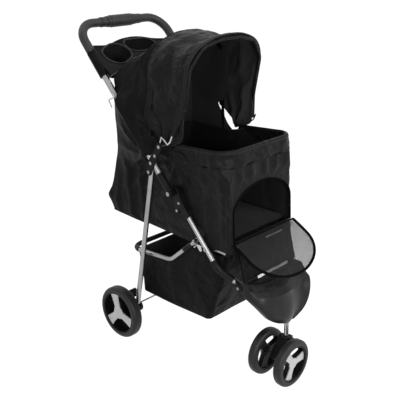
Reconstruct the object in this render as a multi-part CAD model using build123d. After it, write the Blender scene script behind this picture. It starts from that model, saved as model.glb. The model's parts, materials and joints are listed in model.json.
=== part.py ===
from build123d import *
import math
import os

os.makedirs("parts", exist_ok=True)

# Pet stroller. X is across, -Y is the front, +Z is up, and the ground is Z = 0.
# The origin is on the ground under the middle of the overall box.

# ---------------------------------------------------------------- driving dimensions (mm)
SIDES = {"left": -1, "right": 1}

# side planes of the frame, measured from the middle to each tube's axis
OUTER_X = 173.0          # handle tubes and rear legs
INNER_X = 152.0          # front legs
HOOP_X = 150.0           # basket hoop
FLOOR_X = 135.0          # floor frame

HANDLE_TUBE = 19.0
LEG_TUBE = 16.0
SMALL_TUBE = 12.5
TUBE_WALL = 1.2
BOW_WIRE = 7.0
RUNNING_CLEARANCE = 0.05

# pivots of the flat-folding linkage, as (Y, Z)
FOLD_PIVOT = (-29.0, 548.0)      # handle on front leg
LEG_PIVOT = (49.0, 597.0)        # rear leg on handle bracket
HOOP_PIVOT = (-104.0, 411.0)     # basket hoop on floor frame
HOOP_CROSSING = (101.3, 308.3)   # hoop beside rear leg
BOW_PIVOT = (3.0, 682.0)         # rim bow and canopy bow on handle bracket
BRACKET_RIVET = (20.0, 652.0)
TUBE_RIVET = (39.0, 626.0)
PIN_DIAMETER = 6.0
FOLD_PIN = 8.0

# handle
BAR_Y = 377.0
BAR_Z = 987.0
BAR_CORNER_RADIUS = 62.0
FOAM_DIAMETER = 27.0
FOAM_START = 500.0               # distance along the handle tube from the fold pivot
GRIP_DIAMETER = 38.0
GRIP_HALF = 44.0
COLLAR_HALF = 80.0
COLLAR_DIAMETER = 31.0
TRAY_SOCKET = 29.0

# legs
LEG_TOP = (-40.0, 527.0)
LEG_BEND = (-199.0, 352.5)
LEG_BEND_RADIUS = 70.0
LEG_END = (-15.0, -325.0, 211.0)
FLOOR_FRONT = (-214.0, 402.0)    # open ends of the floor frame
FLOOR_REAR = (205.0, 413.0)
FLOOR_RIVET = (-152.4, 403.6)
SHIELD_RIVET = (-247.0, 300.5)
REAR_LEG_FOOT = (137.0, 112.0)
CROSS_ROD = (135.0, 123.0)
CROSS_ROD_DIAMETER = 6.0

# wheels
REAR_AXLE = (184.0, 86.7)
REAR_RADIUS = 86.7
REAR_INNER_FACE = 184.8
REAR_WIDTH = 35.0
AXLE_DIAMETER = 8.0
CASTER_Y = -335.0
CASTER_TRAIL = 34.3
FRONT_RADIUS = 72.9
FRONT_INNER_FACE = 32.8
FRONT_WIDTH = 27.6
STEM_DIAMETER = 15.0
TYRE_DEPTH = 16.0
ARM_ROOT = 0.19                  # half widths of a wheel arm over the bead radius
ARM_TIP = 0.25
REAR_CAP_SEAT = 28.6             # where the cap sits, measured from the inner face
FRONT_CAP_SEAT = 19.4
REAR_ARM_TURN = 75.0             # degrees of the first arm from +Y toward +Z
FRONT_ARM_TURN = 53.0
WHEEL_PIECES = ["tyre", "rim", "cap"]

# cabin, canopy and basket (soft goods)
CLOTH = 3.0
CABIN_HALF = 140.0
CABIN_FLOOR = 425.0
CABIN_TOP = 640.0
CANOPY_HALF = 158.0
CANOPY_CROWN = 982.0
CANOPY_SPRING = 893.0            # height where the canopy arch starts to curve in
REAR_BOW_Y = 72.0
BASKET_HALF = 140.0
DOOR_HINGE = (-240.0, 436.0)
DOOR_HALF = 134.0
DOOR_HEIGHT = 157.0
DOOR_SLOPE = 35.0

nodes = {}


# ---------------------------------------------------------------- helpers
def keep(name, shape):
    """Remember one finished node for export."""
    nodes[name] = shape


def side_plane(x):
    """Sketch plane across X, with its own x along Y and its own y along Z."""
    return Plane.YZ.offset(x)


def slab(sketch, x_from, x_to):
    """Extrude a (Y, Z) sketch across X between two stations."""
    low = min(x_from, x_to)
    return extrude(side_plane(low) * sketch, amount=abs(x_to - x_from))


def x_rod(x_from, x_to, centre, diameter):
    """Round rod along X about a (Y, Z) centre."""
    return slab(Pos(*centre) * Circle(diameter / 2), x_from, x_to)


def x_ring(x_from, x_to, centre, diameter, bore):
    """Round ring along X about a (Y, Z) centre."""
    ring = Pos(*centre) * (Circle(diameter / 2) - Circle(bore / 2))
    return slab(ring, x_from, x_to)


def rivet(side, x_from, x_to, centre, diameter=PIN_DIAMETER, head=10.0):
    """Pin along X with a domed head on its outer end."""
    pin = x_rod(side * x_from, side * x_to, centre, diameter)
    cap = x_rod(side * x_to, side * (x_to + 1.6), centre, head)
    return pin + cap


def bent_tube(points, radii, diameter, bore=None):
    """Round tube along straight runs joined by tangent arcs."""
    path = FilletPolyline(*points, radius=radii)
    start = Plane(origin=path @ 0, z_dir=path % 0)
    section = Circle(diameter / 2)
    if bore:
        section = section - Circle(bore / 2)
    return sweep(start * section, path=path)


def straight_tube(start, end, diameter, bore=None):
    """Round tube between two points."""
    axis = Vector(*end) - Vector(*start)
    section = Circle(diameter / 2)
    if bore:
        section = section - Circle(bore / 2)
    return extrude(Plane(origin=start, z_dir=axis) * section, amount=axis.length)


def mirrored(shape):
    """The same piece on the other side."""
    return mirror(shape, about=Plane.YZ)


def both_sides(shape):
    """One group of a piece and its mirror image."""
    return Compound(children=[*shape.solids(), *mirrored(shape).solids()])


def group(*shapes):
    """Separate solids that share one node."""
    return Compound(children=[solid for shape in shapes for solid in shape.solids()])


def handle_point(distance, lift=0.0):
    """(Y, Z) at a distance up the handle tube and a lift above its axis."""
    along = math.hypot(BAR_Y - FOLD_PIVOT[0], BAR_Z - FOLD_PIVOT[1])
    cosine = (BAR_Y - FOLD_PIVOT[0]) / along
    sine = (BAR_Z - FOLD_PIVOT[1]) / along
    y = FOLD_PIVOT[0] + distance * cosine - lift * sine
    z = FOLD_PIVOT[1] + distance * sine + lift * cosine
    return (y, z)


def leg_point(distance):
    """(Y, Z) at a distance down the front leg from its top end."""
    along = math.hypot(LEG_BEND[0] - LEG_TOP[0], LEG_BEND[1] - LEG_TOP[1])
    share = distance / along
    y = LEG_TOP[0] + share * (LEG_BEND[0] - LEG_TOP[0])
    z = LEG_TOP[1] + share * (LEG_BEND[1] - LEG_TOP[1])
    return (y, z)


def capsule(first, second, radius_first, radius_second=None):
    """Sketch of two discs and the tangent strip that joins them."""
    if radius_second is None:
        radius_second = radius_first
    discs = Pos(*first) * Circle(radius_first) + Pos(*second) * Circle(radius_second)
    return make_hull(discs.edges())


# ---------------------------------------------------------------- front legs and fold joint
def front_leg():
    """Left front leg: straight down, then bent in to the caster head."""
    points = [
        (-INNER_X, *LEG_TOP),
        (-INNER_X, *LEG_BEND),
        LEG_END,
    ]
    tube = bent_tube(points, LEG_BEND_RADIUS, LEG_TUBE, LEG_TUBE - 2 * TUBE_WALL)
    return tube - x_rod(-180, -120, FLOOR_RIVET, 5.0) - x_rod(-180, -105.0, SHIELD_RIVET, 5.0)


def fold_housing():
    """Left moulded housing: a sleeve on the leg with a lug round the fold pivot."""
    outer_face = 160.4
    inner_face = 141.0
    sleeve_end = leg_point(52.0)
    lug = capsule(FOLD_PIVOT, LEG_TOP, 15.0, 13.0)
    sleeve = capsule(LEG_TOP, sleeve_end, 12.5)
    gusset = capsule(LEG_TOP, (-40.0, 493.0), 9.0)
    body = slab(lug + sleeve + gusset, -outer_face, -inner_face)
    body = fillet(body.edges().filter_by(GeomType.CIRCLE).group_by(Axis.X)[0], 1.5)
    socket = straight_tube((-INNER_X, *LEG_TOP), (-INNER_X, *leg_point(80.0)), LEG_TUBE)
    bore = x_rod(-170, -130, FOLD_PIVOT, FOLD_PIN)
    return body - socket - bore


def frame_pins():
    """Fold pins, housing rivets, floor frame rivets and hoop pivot pins."""
    fold_pin = rivet(-1, 141.0, 184.8, FOLD_PIVOT, FOLD_PIN, 13.0)
    upper = x_rod(-161.6, -160.4, leg_point(12.0), 8.0)
    lower = x_rod(-161.6, -160.4, (-40.0, 493.0), 8.0)
    floor_pin = rivet(-1, 127.0, 160.2, FLOOR_RIVET, 5.0, 9.0)
    hoop_pin = rivet(-1, 143.2, 157.2, HOOP_PIVOT, PIN_DIAMETER, 10.0)
    shield_pin = rivet(-1, 105.0, 122.4, SHIELD_RIVET, 5.0, 8.5)
    return both_sides(group(fold_pin, upper, lower, floor_pin, hoop_pin, shield_pin))


# ---------------------------------------------------------------- floor frame and hoop
def floor_frame():
    """U tube that carries the cabin floor; its open ends stand proud in front."""
    points = [
        (-FLOOR_X, *FLOOR_FRONT),
        (-FLOOR_X, *FLOOR_REAR),
        (FLOOR_X, *FLOOR_REAR),
        (FLOOR_X, *FLOOR_FRONT),
    ]
    tube = bent_tube(points, 45.0, SMALL_TUBE, SMALL_TUBE - 2 * TUBE_WALL)
    return tube - x_rod(-180, 180, FLOOR_RIVET, 5.0)


def hoop_brackets():
    """Stamped plates on the floor frame that hold the hoop pivots."""
    plate = capsule(HOOP_PIVOT, (-118.0, 388.0), 9.0, 6.0)
    plate += capsule(HOOP_PIVOT, (-92.0, 392.0), 9.0, 6.0)
    plate += capsule(HOOP_PIVOT, (-134.0, 403.0), 9.0, 6.0)
    solid = slab(plate, -143.2, -141.4)
    return both_sides(solid)


def basket_hoop():
    """U tube of the basket: arms rise to the front pivots, bar across the rear."""
    points = [
        (-HOOP_X, *HOOP_PIVOT),
        (-HOOP_X, 0.0, 318.0),
        (-HOOP_X, 187.0, 301.0),
        (HOOP_X, 187.0, 301.0),
        (HOOP_X, 0.0, 318.0),
        (HOOP_X, *HOOP_PIVOT),
    ]
    radii = [45.0, 48.0, 48.0, 45.0]
    tube = bent_tube(points, radii, SMALL_TUBE, SMALL_TUBE - 2 * TUBE_WALL)
    eye = x_rod(-HOOP_X - 5.0, -HOOP_X + 5.0, HOOP_PIVOT, 15.0)
    bore = x_rod(-180, 180, HOOP_PIVOT, PIN_DIAMETER + 2 * RUNNING_CLEARANCE)
    return tube + eye + mirrored(eye) - bore


# ---------------------------------------------------------------- head, shield and apron
def head_block():
    """Moulded block that joins both front legs to the caster stem."""
    upright = (Align.CENTER, Align.CENTER, Align.MIN)
    bend = Vector(-INNER_X, *LEG_BEND)
    end = Vector(*LEG_END)
    toward_bend = (bend - end).normalized()
    column = Pos(0, CASTER_Y, 190) * Cylinder(12.0, 36.0, align=upright)
    arm = straight_tube(end - toward_bend * 8.0, end + toward_bend * 24.0, 24.0)
    body = column + arm + mirrored(arm)
    body -= Pos(0, CASTER_Y, 176) * Cylinder(STEM_DIAMETER / 2, 120.0)
    leg = straight_tube(end, end + toward_bend * 60.0, LEG_TUBE)
    return body - leg - mirrored(leg)


def caster_stem():
    """Steel tube under the head block in which the caster pin turns."""
    return straight_tube((0, CASTER_Y, 131.0), (0, CASTER_Y, 222.0), STEM_DIAMETER, 10.1)


SHIELD_WALL = 3.0
# shield outline by height: (height, half width, foremost Y, Y of the widest point)
SHIELD_BOWL = [
    (181.0, 24.0, -346.0, -333.0),
    (192.0, 49.0, -350.0, -330.0),
    (208.0, 73.0, -353.0, -327.0),
    (228.0, 91.0, -353.0, -321.0),
    (250.0, 105.0, -350.0, -308.0),
    (286.0, 117.0, -345.0, -264.0),
]
SHIELD_BROW = [
    (286.0, 117.0, -345.0, -264.0),
    (300.0, 118.0, -322.0, -250.0),
    (318.0, 118.0, -306.0, -250.0),
]


def shield_section(height, half, front, widest, back):
    """Closed D shape across the shield at one height, running back to one Y."""
    depth = widest - front
    bulge = 0.76
    left = (-half * bulge, widest - depth * bulge)
    right = (half * bulge, widest - depth * bulge)
    curve = Spline((-half, widest), left, (0, front), right, (half, widest),
                   tangents=[(0, -1), (0, 1)])
    sides = Polyline(curve @ 1, (half, back), (-half, back), curve @ 0)
    return Plane.XY.offset(height) * make_face([curve, sides])


def shield_solid(rows, inset, reach, ruled):
    """Loft of the shield's sections, drawn in by an inset and run back by a reach."""
    sections = []
    for height, half, front, widest in rows:
        sections.append(shield_section(height, half - inset, front + inset, widest, widest + reach))
    return loft(sections, ruled=ruled)


def front_shield():
    """Moulded bumper bowl round the leg ends, open at the top and the back."""
    low = SHIELD_BOWL[0][0]
    floor = [(low + SHIELD_WALL, *SHIELD_BOWL[0][1:]), *SHIELD_BOWL[1:]]
    brow_top = [*SHIELD_BROW[:-1], (SHIELD_BROW[-1][0] + 1.0, *SHIELD_BROW[-1][1:])]
    shell = shield_solid(SHIELD_BOWL, 0.0, 10.0, False) + shield_solid(SHIELD_BROW, 0.0, 10.0, True)
    shell -= shield_solid(floor, SHIELD_WALL, 60.0, False)
    shell -= shield_solid(brow_top, SHIELD_WALL, 60.0, True)
    shell -= Pos(0, CASTER_Y, 150) * Cylinder(9.0, 80.0)
    shell -= x_rod(-180, 180, SHIELD_RIVET, 5.0)
    leg = straight_tube((-INNER_X, *LEG_BEND), LEG_END, LEG_TUBE)
    return shell - leg - mirrored(leg)


def leg_sleeves():
    """Moulded sleeves round the bends of the legs, each with a lug riveted to the shield."""
    before = leg_point(205.0)
    after = 50.0
    end = Vector(*LEG_END)
    bend = Vector(-INNER_X, *LEG_BEND)
    down = (end - bend).normalized()
    points = [(-INNER_X, *before), (-INNER_X, *LEG_BEND), tuple(bend + down * after)]
    sleeve = bent_tube(points, LEG_BEND_RADIUS, 20.4, LEG_TUBE)
    lug = slab(capsule((-251.0, 300.0), (-229.0, 317.0), 9.0, 8.0), -122.4, -118.6)
    lug -= straight_tube(tuple(bend), LEG_END, LEG_TUBE)
    return both_sides(sleeve + lug - x_rod(-180, -100, SHIELD_RIVET, 5.0))


def front_apron():
    """Covered panel below the doorway, down to the shield."""
    outline = [(-236.5, 430.0), (-266.5, 324.0), (-263.6, 323.2), (-233.6, 429.2)]
    panel = slab(make_face(Polyline(*outline, close=True)), -118.0, 118.0)
    slot = slab(Pos(-242.0, 413.0) * Rectangle(30.0, 3.0), -78.0, 78.0)
    return panel - slot


# ---------------------------------------------------------------- cabin and basket
def cabin_shell():
    """Tub of the cabin with an arched doorway in the front panel."""
    outer = [
        (-234.0, CABIN_FLOOR + 6), (-220.6, CABIN_TOP), (-6.0, CABIN_TOP), (22.0, 664.0),
        (209.0, 664.0), (228.0, 577.0), (258.0, 492.0), (272.0, 450.0), (258.0, CABIN_FLOOR),
        (-226.0, CABIN_FLOOR),
    ]
    inner = [
        (-230.6, CABIN_FLOOR + CLOTH), (-215.0, 680.0), (206.0, 680.0), (224.8, 576.0),
        (254.8, 491.0), (268.0, 450.0), (256.0, CABIN_FLOOR + CLOTH),
    ]
    body = slab(make_face(Polyline(*outer, close=True)), -CABIN_HALF, CABIN_HALF)
    room = slab(make_face(Polyline(*inner, close=True)), CLOTH - CABIN_HALF, CABIN_HALF - CLOTH)
    half = 127.0
    sill = CABIN_FLOOR + 14
    arch = make_face([
        Polyline((-half, 520.0), (-half, sill), (half, sill), (half, 520.0)),
        EllipticalCenterArc((0, 520.0), half, 72.0, start_angle=0, arc_size=180),
    ])
    doorway = extrude(Plane.XZ.offset(200.0) * arch, amount=50.0)
    return body - room - doorway


def floor_cushion():
    """Padded mat on the cabin floor."""
    mat = Pos(0, 12.0, 430.0) * Box(266, 460, 22, align=(Align.CENTER, Align.CENTER, Align.MIN))
    return fillet(mat.edges(), 9.0)


def basket():
    """Open-topped bag under the cabin."""
    outer = [(-199.0, 300.0), (-144.0, 163.0), (133.0, 156.0), (176.0, 288.0), (20.0, 306.0),
             (-50.0, 362.0), (-80.0, 388.0), (-152.0, 388.0)]
    inner = [(-195.6, 300.0), (-141.2, 167.0), (130.6, 160.0), (179.0, 305.0), (20.0, 420.0),
             (-148.0, 420.0)]
    body = slab(make_face(Polyline(*outer, close=True)), -BASKET_HALF, BASKET_HALF)
    room = slab(make_face(Polyline(*inner, close=True)), CLOTH - BASKET_HALF, BASKET_HALF - CLOTH)
    return body - room


def mesh_door():
    """Arched mesh flap, rolled down in front of the doorway."""
    arch = make_face([
        Polyline((-DOOR_HALF, 60.0), (-DOOR_HALF, 0.0), (DOOR_HALF, 0.0), (DOOR_HALF, 60.0)),
        EllipticalCenterArc((0, 60.0), DOOR_HALF, DOOR_HEIGHT - 60.0, start_angle=0, arc_size=180),
    ])
    slope = math.radians(DOOR_SLOPE)
    down = Vector(0, -math.cos(slope), -math.sin(slope))
    plane = Plane(origin=(0, *DOOR_HINGE), x_dir=(-1, 0, 0), z_dir=Vector(-1, 0, 0).cross(down))
    flap = extrude(plane * arch, amount=1.2, both=True)
    return flap + x_rod(-DOOR_HALF, DOOR_HALF, DOOR_HINGE, 5.0)


# ---------------------------------------------------------------- handle
def handle_tube():
    """Push bar and both side tubes, bent from one length."""
    points = [
        (-OUTER_X, *FOLD_PIVOT),
        (-OUTER_X, BAR_Y, BAR_Z),
        (OUTER_X, BAR_Y, BAR_Z),
        (OUTER_X, *FOLD_PIVOT),
    ]
    tube = bent_tube(points, BAR_CORNER_RADIUS, HANDLE_TUBE, HANDLE_TUBE - 2 * TUBE_WALL)
    end = x_rod(-OUTER_X - 9.0, -OUTER_X + 9.0, FOLD_PIVOT, 18.0)
    tube += end + mirrored(end)
    tube -= x_rod(-200, 200, FOLD_PIVOT, 8.0 + 2 * RUNNING_CLEARANCE)
    return tube - x_rod(-200, 200, TUBE_RIVET, PIN_DIAMETER)


def grip_foam():
    """Left foam sleeve round the corner of the push bar."""
    start = handle_point(FOAM_START)
    points = [
        (-OUTER_X, *start),
        (-OUTER_X, BAR_Y, BAR_Z),
        (-COLLAR_HALF, BAR_Y, BAR_Z),
    ]
    return bent_tube(points, BAR_CORNER_RADIUS, FOAM_DIAMETER, HANDLE_TUBE)


def centre_grip():
    """Knurled grip in the middle of the push bar."""
    bar = (BAR_Y, BAR_Z)
    grip = x_ring(-GRIP_HALF, GRIP_HALF, bar, GRIP_DIAMETER, HANDLE_TUBE)
    rims = grip.edges().filter_by(GeomType.CIRCLE).sort_by(SortBy.RADIUS)[-2:]
    return fillet(rims, 3.0)


def grip_collars():
    """Stepped collars between the grip and the foam."""
    bar = (BAR_Y, BAR_Z)
    step = x_ring(-GRIP_HALF - 12.0, -GRIP_HALF, bar, 34.0, HANDLE_TUBE)
    neck = x_ring(-COLLAR_HALF, -GRIP_HALF - 12.0, bar, COLLAR_DIAMETER, HANDLE_TUBE)
    return both_sides(step + neck)


def tray_plane():
    """Top plane of the tray: its own x is X and its own y runs up to the rear."""
    tilt = math.radians(30.0)
    y, z = handle_point(452.0, 10.0)
    return Plane(origin=(0, y, z), x_dir=(1, 0, 0), z_dir=(0, -math.sin(tilt), math.cos(tilt)))


def tray_outline():
    """Edge of the tray in its own plane: swept in over the cabin, full at the handle tubes."""
    half = 172.0
    rear = Spline((-half, 70), (-139, 80), (-98, 75), (-44, 89), (12, 99), (68, 93), (100, 80),
                  (139, 72), (half, 66))
    front = Spline((half, -50), (118, -28), (62, 5), (10, 9), (-26, 4), (-65, -15), (-106, -33),
                   (-half, -60))
    return make_face([rear, Line(rear @ 1, front @ 0), front, Line(front @ 1, rear @ 0)])


def tray_well(spot, turn, outline, depth, draft):
    """Tapered plug sunk from the tray's top plane."""
    return extrude(Pos(*spot) * Rot(0, 0, turn) * outline, amount=-depth, taper=draft)


def cup_tray():
    """Moulded tray with an oval cup well and a wide pocket."""
    thickness = 10.0
    wall = 3.0
    edge = 2.4
    plate = extrude(tray_outline(), amount=-thickness)
    rim = plate.edges().filter_by(Plane.XY)
    plate = fillet(rim, edge)
    cup = (-84.0, 28.0)
    pocket = (32.0, 54.0)
    plate += tray_well(cup, 27.0, SlotOverall(106.0 + 2 * wall, 79.0 + 2 * wall), 62.0, 6)
    plate += tray_well(pocket, -2.0, RectangleRounded(124.0, 64.0, 30.0), 46.0, 6)
    cup_room = tray_well(cup, 27.0, SlotOverall(106.0, 79.0), 59.0, 6)
    pocket_room = tray_well(pocket, -2.0, RectangleRounded(118.0, 58.0, 27.0), 43.0, 6)
    tray = tray_plane() * (plate - cup_room - pocket_room)
    for side in SIDES.values():
        low = (side * OUTER_X, *handle_point(380.0))
        high = (side * OUTER_X, *handle_point(540.0))
        tray -= straight_tube(low, high, TRAY_SOCKET)
    return tray


def tray_clamps():
    """Split sockets that grip the handle tubes at the tray's ends."""
    start = (-OUTER_X, *handle_point(409.0))
    end = (-OUTER_X, *handle_point(496.0))
    socket = straight_tube(start, end, TRAY_SOCKET, HANDLE_TUBE)
    rims = socket.edges().filter_by(GeomType.CIRCLE).sort_by(SortBy.RADIUS)[-2:]
    return both_sides(fillet(rims, 1.6))


def side_bracket():
    """Left curved plate that ties the bow pivot and rear leg pivot to the handle."""
    spots = [BOW_PIVOT, BRACKET_RIVET, TUBE_RIVET, LEG_PIVOT]
    outline = capsule(spots[0], spots[1], 11.0, 11.5)
    outline += capsule(spots[1], spots[2], 11.5, 12.0)
    outline += capsule(spots[2], spots[3], 12.0, 11.0)
    plate = slab(outline, -187.0, -183.0)
    for spot in spots:
        plate -= x_rod(-200, -170, spot, PIN_DIAMETER)
    return plate


def bracket_rivets():
    """Pins of both side brackets: bow pivot, rear leg pivot and two rivets."""
    pins = [
        rivet(-1, 141.5, 187.0, BOW_PIVOT, 5.0),
        rivet(-1, 181.5, 187.0, BRACKET_RIVET),
        rivet(-1, 163.0, 187.0, TUBE_RIVET),
        rivet(-1, 163.0, 187.0, LEG_PIVOT),
    ]
    return both_sides(group(*pins))


def storage_hook():
    """Wire hook clipped to the left handle tube."""
    points = [(-185.0, 211.0, 808.0), (-185.0, 186.0, 797.0), (-185.0, 222.0, 783.0), (-185.0, 207.0, 762.0)]
    return bent_tube(points, 5.0, 4.2)


def arch_points(half, crown, spring, foot, place):
    """Corner points of a bow arch from one foot to the other, set into 3-D by place."""
    rise = crown - spring
    outline = [(-half, foot), (-half, spring + 0.16 * rise), (-0.72 * half, spring + 0.82 * rise),
               (-0.26 * half, crown)]
    outline += [(-x, z) for x, z in reversed(outline)]
    return [(x, place(z), z) for x, z in outline]


def rear_bow_route():
    """Corner points and radii of the fixed bow; its feet splay to the handle tubes."""
    foot_y = 66.0
    points = arch_points(150.0, 970.0, CANOPY_SPRING, 740.0, lambda z: foot_y)
    points = [(-159.0, foot_y, 648.0), *points, (159.0, foot_y, 648.0)]
    return points, [90.0, 40.0, 45.0, 60.0, 60.0, 45.0, 40.0, 90.0]


def rear_bow():
    """Fixed bow under the canopy seam, riveted inside the handle tubes."""
    points, radii = rear_bow_route()
    return bent_tube(points, radii, BOW_WIRE)


def canopy_side(outline, x_from, x_to):
    """Canopy volume between two X stations from its (Y, Z) outline."""
    return slab(make_face(Polyline(*outline, close=True)), x_from, x_to)


def canopy_arch(inset, y_from, y_to):
    """Arch-shaped tunnel along Y, inset from the outer cloth surface."""
    half = CANOPY_HALF - inset
    spring = CANOPY_SPRING
    arch = make_face([
        Polyline((-half, spring), (-half, 600.0), (half, 600.0), (half, spring)),
        EllipticalCenterArc((0, spring), half, CANOPY_CROWN + 4 - inset - spring, start_angle=0,
                            arc_size=180),
    ])
    return extrude(Plane.XZ.offset(-y_to) * arch, amount=y_to - y_from)


def canopy_hood():
    """Hood from the fixed bow to the front bow, open below and in front."""
    back = REAR_BOW_Y + 0.6
    outer = [(-53.0, 705.0), (-60.0, 790.0), (-76.0, 880.0), (-95.0, 970.0), (-101.0, 990.0),
             (-47.0, 983.0), (20.0, 976.0), (back, 979.0), (back, 722.0), (3.0, 692.0)]
    inner = [(-130.0, 600.0), (-130.0, 990.0), (-47.0, 983.0 - CLOTH), (20.0, 976.0 - CLOTH),
             (back + 5.0, 979.0 - CLOTH), (back + 5.0, 600.0)]
    body = canopy_side(outer, -170, 170) & canopy_arch(0.0, -120.0, back)
    room = canopy_side(inner, -170, 170) & canopy_arch(CLOTH, -130.0, back + 5.0)
    body -= room
    for points, radii in (front_bow_route(), rear_bow_route()):
        body -= bent_tube(points, radii, BOW_WIRE + 2.0)
    return body


def canopy_back():
    """Back panel and gussets between the fixed bow, the handle tubes and the tray."""
    front = REAR_BOW_Y + 1.2
    outer = [(front, 668.0), (front, 981.0), (130.0, 926.0), (223.0, 846.0), (207.0, 814.0),
             (210.0, 772.0), (209.0, 668.0)]
    inner = [(front - 5, 660.0), (front - 5, 980.8), (128.2, 922.6), (218.6, 845.0), (204.0, 814.0),
             (207.0, 772.0), (206.0, 660.0)]
    body = canopy_side(outer, -170, 170) & canopy_arch(0.0, front, 240.0)
    room = canopy_side(inner, -170, 170) & canopy_arch(CLOTH, front - 5.0, 240.0)
    corner = Pos(0, 208.0, 811.0) * Box(400, 36, 26) - Box(2 * 128.0, 900, 2400)
    return body - room - corner


# ---------------------------------------------------------------- moving bows
def rim_bow():
    """U wire in the rim of the cabin, hinged at the bow pivots."""
    rear = (-146.0, *BOW_PIVOT)
    corner = (-150.0, -217.0, 697.0)
    points = [rear, corner, (150.0, -217.0, 697.0), (146.0, *BOW_PIVOT)]
    bow = bent_tube(points, 53.0, BOW_WIRE)
    eye = x_rod(-149.5, -142.5, BOW_PIVOT, 12.0)
    bore = x_rod(-200, 200, BOW_PIVOT, 5.0 + 2 * RUNNING_CLEARANCE)
    return bow + eye + mirrored(eye) - bore


def rim_band():
    """Cloth band sewn round the rim wire."""
    slope = (697.0 - BOW_PIVOT[1]) / (-217.0 - BOW_PIVOT[0])
    start_y = -14.0
    start_z = BOW_PIVOT[1] + slope * (start_y - BOW_PIVOT[0])
    start_x = 146.0 + 4.0 * (start_y - BOW_PIVOT[0]) / (-217.0 - BOW_PIVOT[0])
    points = [(-start_x, start_y, start_z), (-150.0, -217.0, 697.0), (150.0, -217.0, 697.0),
              (start_x, start_y, start_z)]
    path = FilletPolyline(*points, radius=53.0)
    plane = Plane(origin=path @ 0, x_dir=(1, 0, 0), z_dir=path % 0)
    if plane.y_dir.Z < 0:
        plane = Plane(origin=path @ 0, x_dir=(-1, 0, 0), z_dir=path % 0)
    section = Pos(0, -18.0) * Rectangle(10.4, 46.0) - Circle(BOW_WIRE / 2 + 0.3)
    return sweep(plane * section, path=path)


def front_bow_route():
    """Corner points and radii of the front bow; its feet splay to the hinge plates."""
    foot_y, foot_z = -38.0, 712.0
    points = arch_points(147.0, 976.0, CANOPY_SPRING, 790.0, lambda z: -58.0 - 0.18 * (z - 770.0))
    points = [(-175.8, foot_y, foot_z), *points, (175.8, foot_y, foot_z)]
    return points, [45.0, 40.0, 45.0, 60.0, 60.0, 45.0, 40.0, 45.0]


def canopy_front_bow():
    """Front bow wire with a splayed foot on each hinge plate."""
    points, radii = front_bow_route()
    return bent_tube(points, radii, BOW_WIRE)


def canopy_hinges():
    """Stamped hinge plates of the front bow."""
    outline = capsule(BOW_PIVOT, (-6.0, 704.0), 10.0, 7.0)
    outline += capsule((-6.0, 704.0), (-24.0, 700.0), 7.0)
    outline += capsule((-24.0, 700.0), (-41.0, 716.0), 7.0)
    outline += capsule((-24.0, 700.0), (-33.0, 690.0), 7.0, 5.0)
    plate = slab(outline, -182.0, -179.5)
    plate -= x_rod(-200, -150, BOW_PIVOT, 5.0 + 2 * RUNNING_CLEARANCE)
    return both_sides(plate)


# ---------------------------------------------------------------- rear legs
def rear_leg():
    """Left rear leg from the bracket pivot to the wheel bracket."""
    slope = (REAR_LEG_FOOT[0] - LEG_PIVOT[0]) / (REAR_LEG_FOOT[1] - LEG_PIVOT[1])
    top_z = LEG_PIVOT[1] + 9.0
    top = (-OUTER_X, LEG_PIVOT[0] + slope * 9.0, top_z)
    tube = straight_tube(top, (-OUTER_X, *REAR_LEG_FOOT), LEG_TUBE, LEG_TUBE - 2 * TUBE_WALL)
    tube -= x_rod(-200, -150, LEG_PIVOT, PIN_DIAMETER + 2 * RUNNING_CLEARANCE)
    tube -= x_rod(-200, -150, HOOP_CROSSING, PIN_DIAMETER)
    return tube - x_rod(-200, -150, CROSS_ROD, CROSS_ROD_DIAMETER)


def cross_rod():
    """Rod between the rear legs with a nut outside each bracket."""
    rod = x_rod(-183.0, 183.0, CROSS_ROD, CROSS_ROD_DIAMETER)
    return rod


def wheel_bracket():
    """Left moulded bracket from the leg foot back to the wheel axle."""
    arm = capsule(REAR_LEG_FOOT, REAR_AXLE, 16.5, 14.5)
    body = slab(arm, -183.4, -162.0)
    body = fillet(body.edges().filter_by(GeomType.CIRCLE), 1.5)
    foot = (-OUTER_X, *REAR_LEG_FOOT)
    slope = (REAR_LEG_FOOT[0] - LEG_PIVOT[0]) / (REAR_LEG_FOOT[1] - LEG_PIVOT[1])
    above = (-OUTER_X, REAR_LEG_FOOT[0] + slope * 90.0, REAR_LEG_FOOT[1] + 90.0)
    body -= straight_tube(foot, above, LEG_TUBE)
    body -= x_rod(-200, -150, CROSS_ROD, CROSS_ROD_DIAMETER)
    body -= x_rod(-200, -140, REAR_AXLE, AXLE_DIAMETER)
    return body - x_rod(-170, -150, (160.0, 108.0), 5.0)


def rear_leg_pins():
    """Wheel axles and the stops beside the hoop."""
    axle = x_rod(-214.4, -160.0, REAR_AXLE, AXLE_DIAMETER)
    stop = x_rod(-182.0, -157.0, HOOP_CROSSING, PIN_DIAMETER)
    return both_sides(group(axle, stop))


def brake_pedal():
    """Left foot brake: a lever with a tread plate behind the leg."""
    pivot = (160.0, 108.0)
    lever = slab(capsule(pivot, (198.0, 126.0), 7.0, 5.0), -161.6, -153.0)
    tread = slab(capsule((182.0, 122.0), (206.0, 132.0), 3.0), -161.6, -122.0)
    pin = x_rod(-169.0, -150.0, pivot, 5.0 - 2 * RUNNING_CLEARANCE)
    return lever + tread + pin


# ---------------------------------------------------------------- wheels
def wheel_turn(profile):
    """Revolve an (X, radius) half section about the X axis."""
    return revolve(Plane.XY * profile, axis=Axis.X)


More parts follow.
